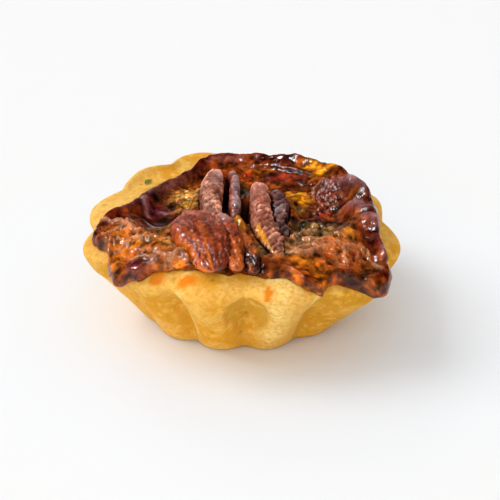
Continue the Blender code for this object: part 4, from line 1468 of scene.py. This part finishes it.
# %% A material in the making
class Finish:
    """A material, its nodes, and the shader that they lead to."""

    def __init__(self, name):
        self.material = bpy.data.materials.new(name)
        self.material.use_nodes = True
        self.tree = self.material.node_tree
        self.shader = self.tree.nodes["Principled BSDF"]

    def fill(self, node, inputs):
        """Links each input to the output it is given, or sets it to a number or a colour."""
        for key, value in inputs.items():
            if isinstance(value, bpy.types.NodeSocket):
                self.tree.links.new(value, node.inputs[key])
            else:
                node.inputs[key].default_value = value

    def add(self, kind, inputs, **settings):
        """A node of the given kind, with its settings and its inputs."""
        node = self.tree.nodes.new("ShaderNode" + kind)
        for key, value in settings.items():
            setattr(node, key, value)
        self.fill(node, inputs)
        return node

    def place(self):
        """Where a point is on the object, in metres."""
        return self.add("TexCoord", {}).outputs["Object"]

    def carried(self, name, output="Fac"):
        """A value, or with "Color" a colour, that the mesh carries for each point."""
        return self.add("Attribute", {}, attribute_name=name).outputs[output]

    def noise(self, waves, detail, roughness=0.6):
        """Noise on the object, waves being how many there are to a metre."""
        inputs = {"Vector": self.place(), "Scale": waves, "Detail": detail, "Roughness": roughness}
        return self.add("TexNoise", inputs).outputs["Fac"]

    def bent_place(self, waves, amount):
        """Where a point is, shifted by noise, so that cells read from it have wavy borders."""
        where = self.place()
        shift = self.add("TexNoise", {"Vector": where, "Scale": waves, "Detail": 3})
        inputs = {0: shift.outputs["Color"], 1: (amount,) * 3, 2: where}
        return self.add("VectorMath", inputs, operation="MULTIPLY_ADD").outputs["Vector"]

    def cells(self, count, where):
        """Distance to the nearest cell centre, count cells to a metre, and a grey for each cell."""
        made = self.add("TexVoronoi", {"Vector": where, "Scale": count})
        split = self.add("SeparateColor", {"Color": made.outputs["Color"]})
        return made.outputs["Distance"], split.outputs["Red"]

    def borders(self, count, where):
        """Distance to the border between two cells."""
        inputs = {"Vector": where, "Scale": count}
        return self.add("TexVoronoi", inputs, feature="DISTANCE_TO_EDGE").outputs["Distance"]

    def spread(self, value, low, high, to_low, to_high):
        """The value, carried from one range to another and held at its ends."""
        inputs = {"Value": value, "From Min": low, "From Max": high}
        inputs.update({"To Min": to_low, "To Max": to_high})
        return self.add("MapRange", inputs).outputs["Result"]

    def maths(self, operation, one, other):
        """Two values, either of which may be a number, multiplied, added or subtracted."""
        return self.add("Math", {0: one, 1: other}, operation=operation).outputs["Value"]

    def mixed(self, colour, share, other):
        """The colour, turned into another fixed colour by a share."""
        inputs = {0: share, 6: colour, 7: (*other, 1)}
        return self.add("Mix", inputs, data_type="RGBA").outputs[2]

    def shaded(self, colour, value):
        """The colour times a grey value."""
        inputs = {0: colour, "Scale": value}
        return self.add("VectorMath", inputs, operation="SCALE").outputs["Vector"]

    def bump(self, height, strength, distance=0.0003):
        """Fine relief that only turns the light, distance being its depth in metres."""
        inputs = {"Strength": strength, "Distance": distance, "Height": height}
        return self.add("Bump", inputs).outputs["Normal"]

    def give(self, inputs, *pieces):
        """Fills the shader's inputs and puts the material on the pieces."""
        self.fill(self.shader, inputs)
        for piece in pieces:
            piece.data.materials.append(self.material)
        print("%s: %d nodes" % (self.material.name, len(self.tree.nodes)))


# %% [markdown]
# ### Baked pastry
# Pastry is dry and matt. It browns in soft patches of several sizes, so each patch is noise that
# turns the colour towards a warmer or a paler one. Darkening it instead would turn gold into olive.
# A few brown specks are cells, of which only the rare ones show.

# %% The pastry's finish
PASTRY_PATCHES = (
    # waves to a metre, detail, roughness, where the patch starts and is full, strength, colour
    (1300, 2, 0.6, 0.44, 0.64, 0.55, (0.66, 0.27, 0.008)),
    (420, 4, 0.7, 0.5, 0.68, 0.7, (0.92, 0.56, 0.11)),
    (520, 4, 0.65, 0.54, 0.7, 0.55, (0.70, 0.27, 0.006)),
)
SPECKS = 480
SPECK_BROWN = (0.36, 0.17, 0.014)

pastry = Finish("baked_pastry")
mottled = pastry.carried("tint", "Color")
for waves, detail, roughness, start, full, strength, colour in PASTRY_PATCHES:
    patch = pastry.spread(pastry.noise(waves, detail, roughness), start, full, 0, strength)
    mottled = pastry.mixed(mottled, patch, colour)
mottled = pastry.mixed(mottled, pastry.carried("stain"), STAIN)
speck, speck_owner = pastry.cells(SPECKS, pastry.place())
dot = pastry.spread(speck, 0.05, 0.15, 1, 0)
rare = pastry.spread(speck_owner, 0.78, 0.82, 0, 0.6)
mottled = pastry.mixed(mottled, pastry.maths("MULTIPLY", dot, rare), SPECK_BROWN)
pastry.give({
    "Base Color": mottled,
    "Roughness": 0.7,
    "Specular IOR Level": 0.08,
    "Subsurface Weight": 0.2,
    "Subsurface Radius": (1.0, 0.5, 0.2),
    "Subsurface Scale": 0.0015,
    "Normal": pastry.bump(pastry.noise(1000, 3), 0.45),
}, crust)

# %% [markdown]
# ### Set caramel
# Caramel is clear and wet: light goes in and comes out orange, and a sharp gloss lies over it. Where
# the skin wrinkled it carries a lace of pale lines, the borders of cells, pale partly as dry skin and
# partly as painted sheen, and where it foamed it carries bubbles, small domes with painted shade
# between them. Dry places lose the gloss.

# %% The caramel's finish
LACE_CELLS = 430
BUBBLES = 1000

syrup = Finish("baked_caramel")
bent_by_noise = syrup.bent_place(380, 0.0022)
border = syrup.borders(LACE_CELLS, bent_by_noise)
lace = syrup.maths("MULTIPLY", syrup.spread(border, 0.02, 0.11, 1, 0), syrup.carried("lace"))
bubble, bubble_owner = syrup.cells(BUBBLES, bent_by_noise)
dome = syrup.spread(bubble, 0.1, 0.62, 1, 0)
open_cells = syrup.spread(bubble_owner, 0.25, 0.45, 0, 1)
foam = syrup.maths("MULTIPLY", syrup.carried("foam"), open_cells)
cloud = syrup.spread(syrup.noise(650, 5, 0.7), 0.35, 0.65, 0.45, 1.6)
skin = syrup.shaded(syrup.carried("tint", "Color"), cloud)
# painted shade between the bubbles
between = syrup.maths("MULTIPLY", syrup.maths("SUBTRACT", 1.0, dome), foam)
gaps = syrup.maths("MULTIPLY", between, 0.55)
skin = syrup.shaded(skin, syrup.maths("SUBTRACT", 1.0, gaps))
# pale lace lines: dry skin, and partly painted sheen
skin = syrup.mixed(skin, syrup.maths("MULTIPLY", lace, 0.32), PALE_SKIN_AND_SHEEN)
dry = syrup.maths("ADD", syrup.carried("dry"), syrup.maths("MULTIPLY", lace, 0.4))
bubbled = syrup.maths("MULTIPLY", dome, syrup.maths("MULTIPLY", foam, 0.7))
height = syrup.maths("ADD", syrup.maths("ADD", bubbled, lace), syrup.noise(1200, 3, 0.5))
syrup.give({
    "Base Color": skin,
    "Roughness": syrup.spread(dry, 0, 1, 0.10, 0.34),
    "Specular IOR Level": 0.25,
    "Subsurface Weight": 0.22,
    "Subsurface Radius": (1.0, 0.3, 0.08),
    "Subsurface Scale": 0.001,
    "Coat Weight": syrup.spread(dry, 0, 0.8, 0.7, 0),
    "Coat IOR": 1.3,
    "Coat Roughness": 0.04,
    "Normal": syrup.bump(height, 0.7),
}, caramel)

# %% [markdown]
# ### Pecan skin and herb
# Pecan skin is fibrous, and has a thin glaze where it touched the syrup: the drier it is, the duller.
# The herb is a plain dry leaf, a little uneven in its green.

# %% The finish of the pecans and the herb
pecan = Finish("roasted_pecan")
fibre = pecan.spread(pecan.noise(1100, 5, 0.65), 0.3, 0.7, 0.75, 1.3)
dry = pecan.carried("dry")
pecan.give({
    "Base Color": pecan.shaded(pecan.carried("tint", "Color"), fibre),
    "Roughness": pecan.spread(dry, 0, 1, 0.2, 0.6),
    "Coat Weight": pecan.spread(dry, 0, 0.5, 0.75, 0),
    "Coat Roughness": 0.08,
    "Specular IOR Level": 0.3,
    "Subsurface Weight": 0.1,
    "Subsurface Radius": (1.0, 0.4, 0.2),
    "Subsurface Scale": 0.0008,
    "Normal": pecan.bump(pecan.noise(1300, 5, 0.65), 0.7),
}, pecan_back, pecan_front, pecan_side)

leaf = Finish("dried_herb")
vein = leaf.spread(leaf.noise(2500, 3), 0.3, 0.7, 0.7, 1.4)
leaf.give({"Base Color": leaf.shaded(leaf.carried("tint", "Color"), vein), "Roughness": 0.55}, herb)

# %% [markdown]
# ## Table, light and camera
# The pie stands on a plain pale table in a bright room. The table is a shade bluer close to the pie,
# which evens out the warm light that the pastry throws on it.

# %% Table
FLOOR_HALF = 3.0
FLOOR_WHITE = (0.81, 0.81, 0.81)
FLOOR_NEAR_PIE = (0.79, 0.83, 0.87)
NEAR_PIE = (0.03, 0.075)

floor_mesh = bpy.data.meshes.new("table")
corners = [(x * FLOOR_HALF, y * FLOOR_HALF, 0) for x, y in ((-1, -1), (1, -1), (1, 1), (-1, 1))]
floor_mesh.from_pydata(corners, [], [(0, 1, 2, 3)])
table = bpy.data.objects.new("table", floor_mesh)
bpy.context.scene.collection.objects.link(table)
tabletop = Finish("pale_table")
from_middle = tabletop.add("VectorMath", {0: tabletop.place()}, operation="LENGTH").outputs["Value"]
near_pie = tabletop.spread(from_middle, *NEAR_PIE, 1, 0)
floor_colour = tabletop.mixed((*FLOOR_WHITE, 1), near_pie, FLOOR_NEAR_PIE)
tabletop.give({"Base Color": floor_colour, "Roughness": 0.7}, table)

# %% [markdown]
# A broad light comes from the left and a softer one from the front. What the wet caramel mirrors is
# a matter of its own, so gloss has its own lights: the window, the bright backdrop, and one small
# lamp for the sparkles. Each light then lights either the matt part of a surface or its gloss.

# %% Lights
LIGHTS = {
    # azimuth and elevation of the light in degrees, strength, width in degrees, what it lights
    "left_window": (166, 44, 1.45, 38, "matt"),
    "front_card": (258, 26, 0.90, 50, "matt"),
    "backdrop": (112, 30, 0.3, 24, "matt"),
    "window_gloss": (192, 42, 0.18, 20, "gloss"),
    "backdrop_gloss": (95, 3, 0.08, 26, "gloss"),
    "small_lamp": (208, 52, 6.0, 5, "gloss"),
}
ROOM_LIGHT = 0.72


def towards(azimuth, elevation):
    """The unit direction of an azimuth and an elevation in degrees."""
    azimuth, elevation = np.radians(azimuth), np.radians(elevation)
    flat = np.cos(elevation)
    return Vector((flat * np.cos(azimuth), flat * np.sin(azimuth), np.sin(elevation)))


for name, (azimuth, elevation, strength, width, lit) in LIGHTS.items():
    lamp = bpy.data.lights.new(name, "SUN")
    lamp.energy = strength
    lamp.angle = np.radians(width)
    light = bpy.data.objects.new(name, lamp)
    light.rotation_euler = towards(azimuth, elevation).to_track_quat("Z", "Y").to_euler()
    light.visible_glossy = lit != "matt"
    light.visible_diffuse = lit != "gloss"
    bpy.context.scene.collection.objects.link(light)

world = bpy.data.worlds.new("bright_room")
world.use_nodes = True
world.node_tree.nodes["Background"].inputs["Color"].default_value = (1.0, 1.0, 1.0, 1)
world.node_tree.nodes["Background"].inputs["Strength"].default_value = ROOM_LIGHT
world.cycles_visibility.glossy = False
bpy.context.scene.world = world
bpy.context.scene.view_settings.view_transform = "Standard"
print("lights:", ", ".join(LIGHTS))

# %% [markdown]
# The camera looks down at 28 degrees from the front, from 300 mm away. That near, the front of the
# pie is drawn a little larger than its back, as it is in a close photograph.

# %% Camera
CAMERA_ELEVATION = np.radians(28)
CAMERA_DISTANCE = 300 * MM
TARGET = Vector((1.65 * MM, 0, 12 * MM))
LENS = 105.57
SENSOR = 36
NEAREST_SEEN = 0.01

camera = bpy.data.objects.new("camera", bpy.data.cameras.new("camera"))
back = Vector((0, -np.cos(CAMERA_ELEVATION), np.sin(CAMERA_ELEVATION)))
camera.location = TARGET + back * CAMERA_DISTANCE
camera.rotation_euler = back.to_track_quat("Z", "Y").to_euler()
camera.data.sensor_width = SENSOR
camera.data.lens = LENS
camera.data.clip_start = NEAREST_SEEN
bpy.context.scene.collection.objects.link(camera)
bpy.context.scene.camera = camera
print("camera: %.0f mm away, lens %.0f mm" % (CAMERA_DISTANCE / MM, LENS))
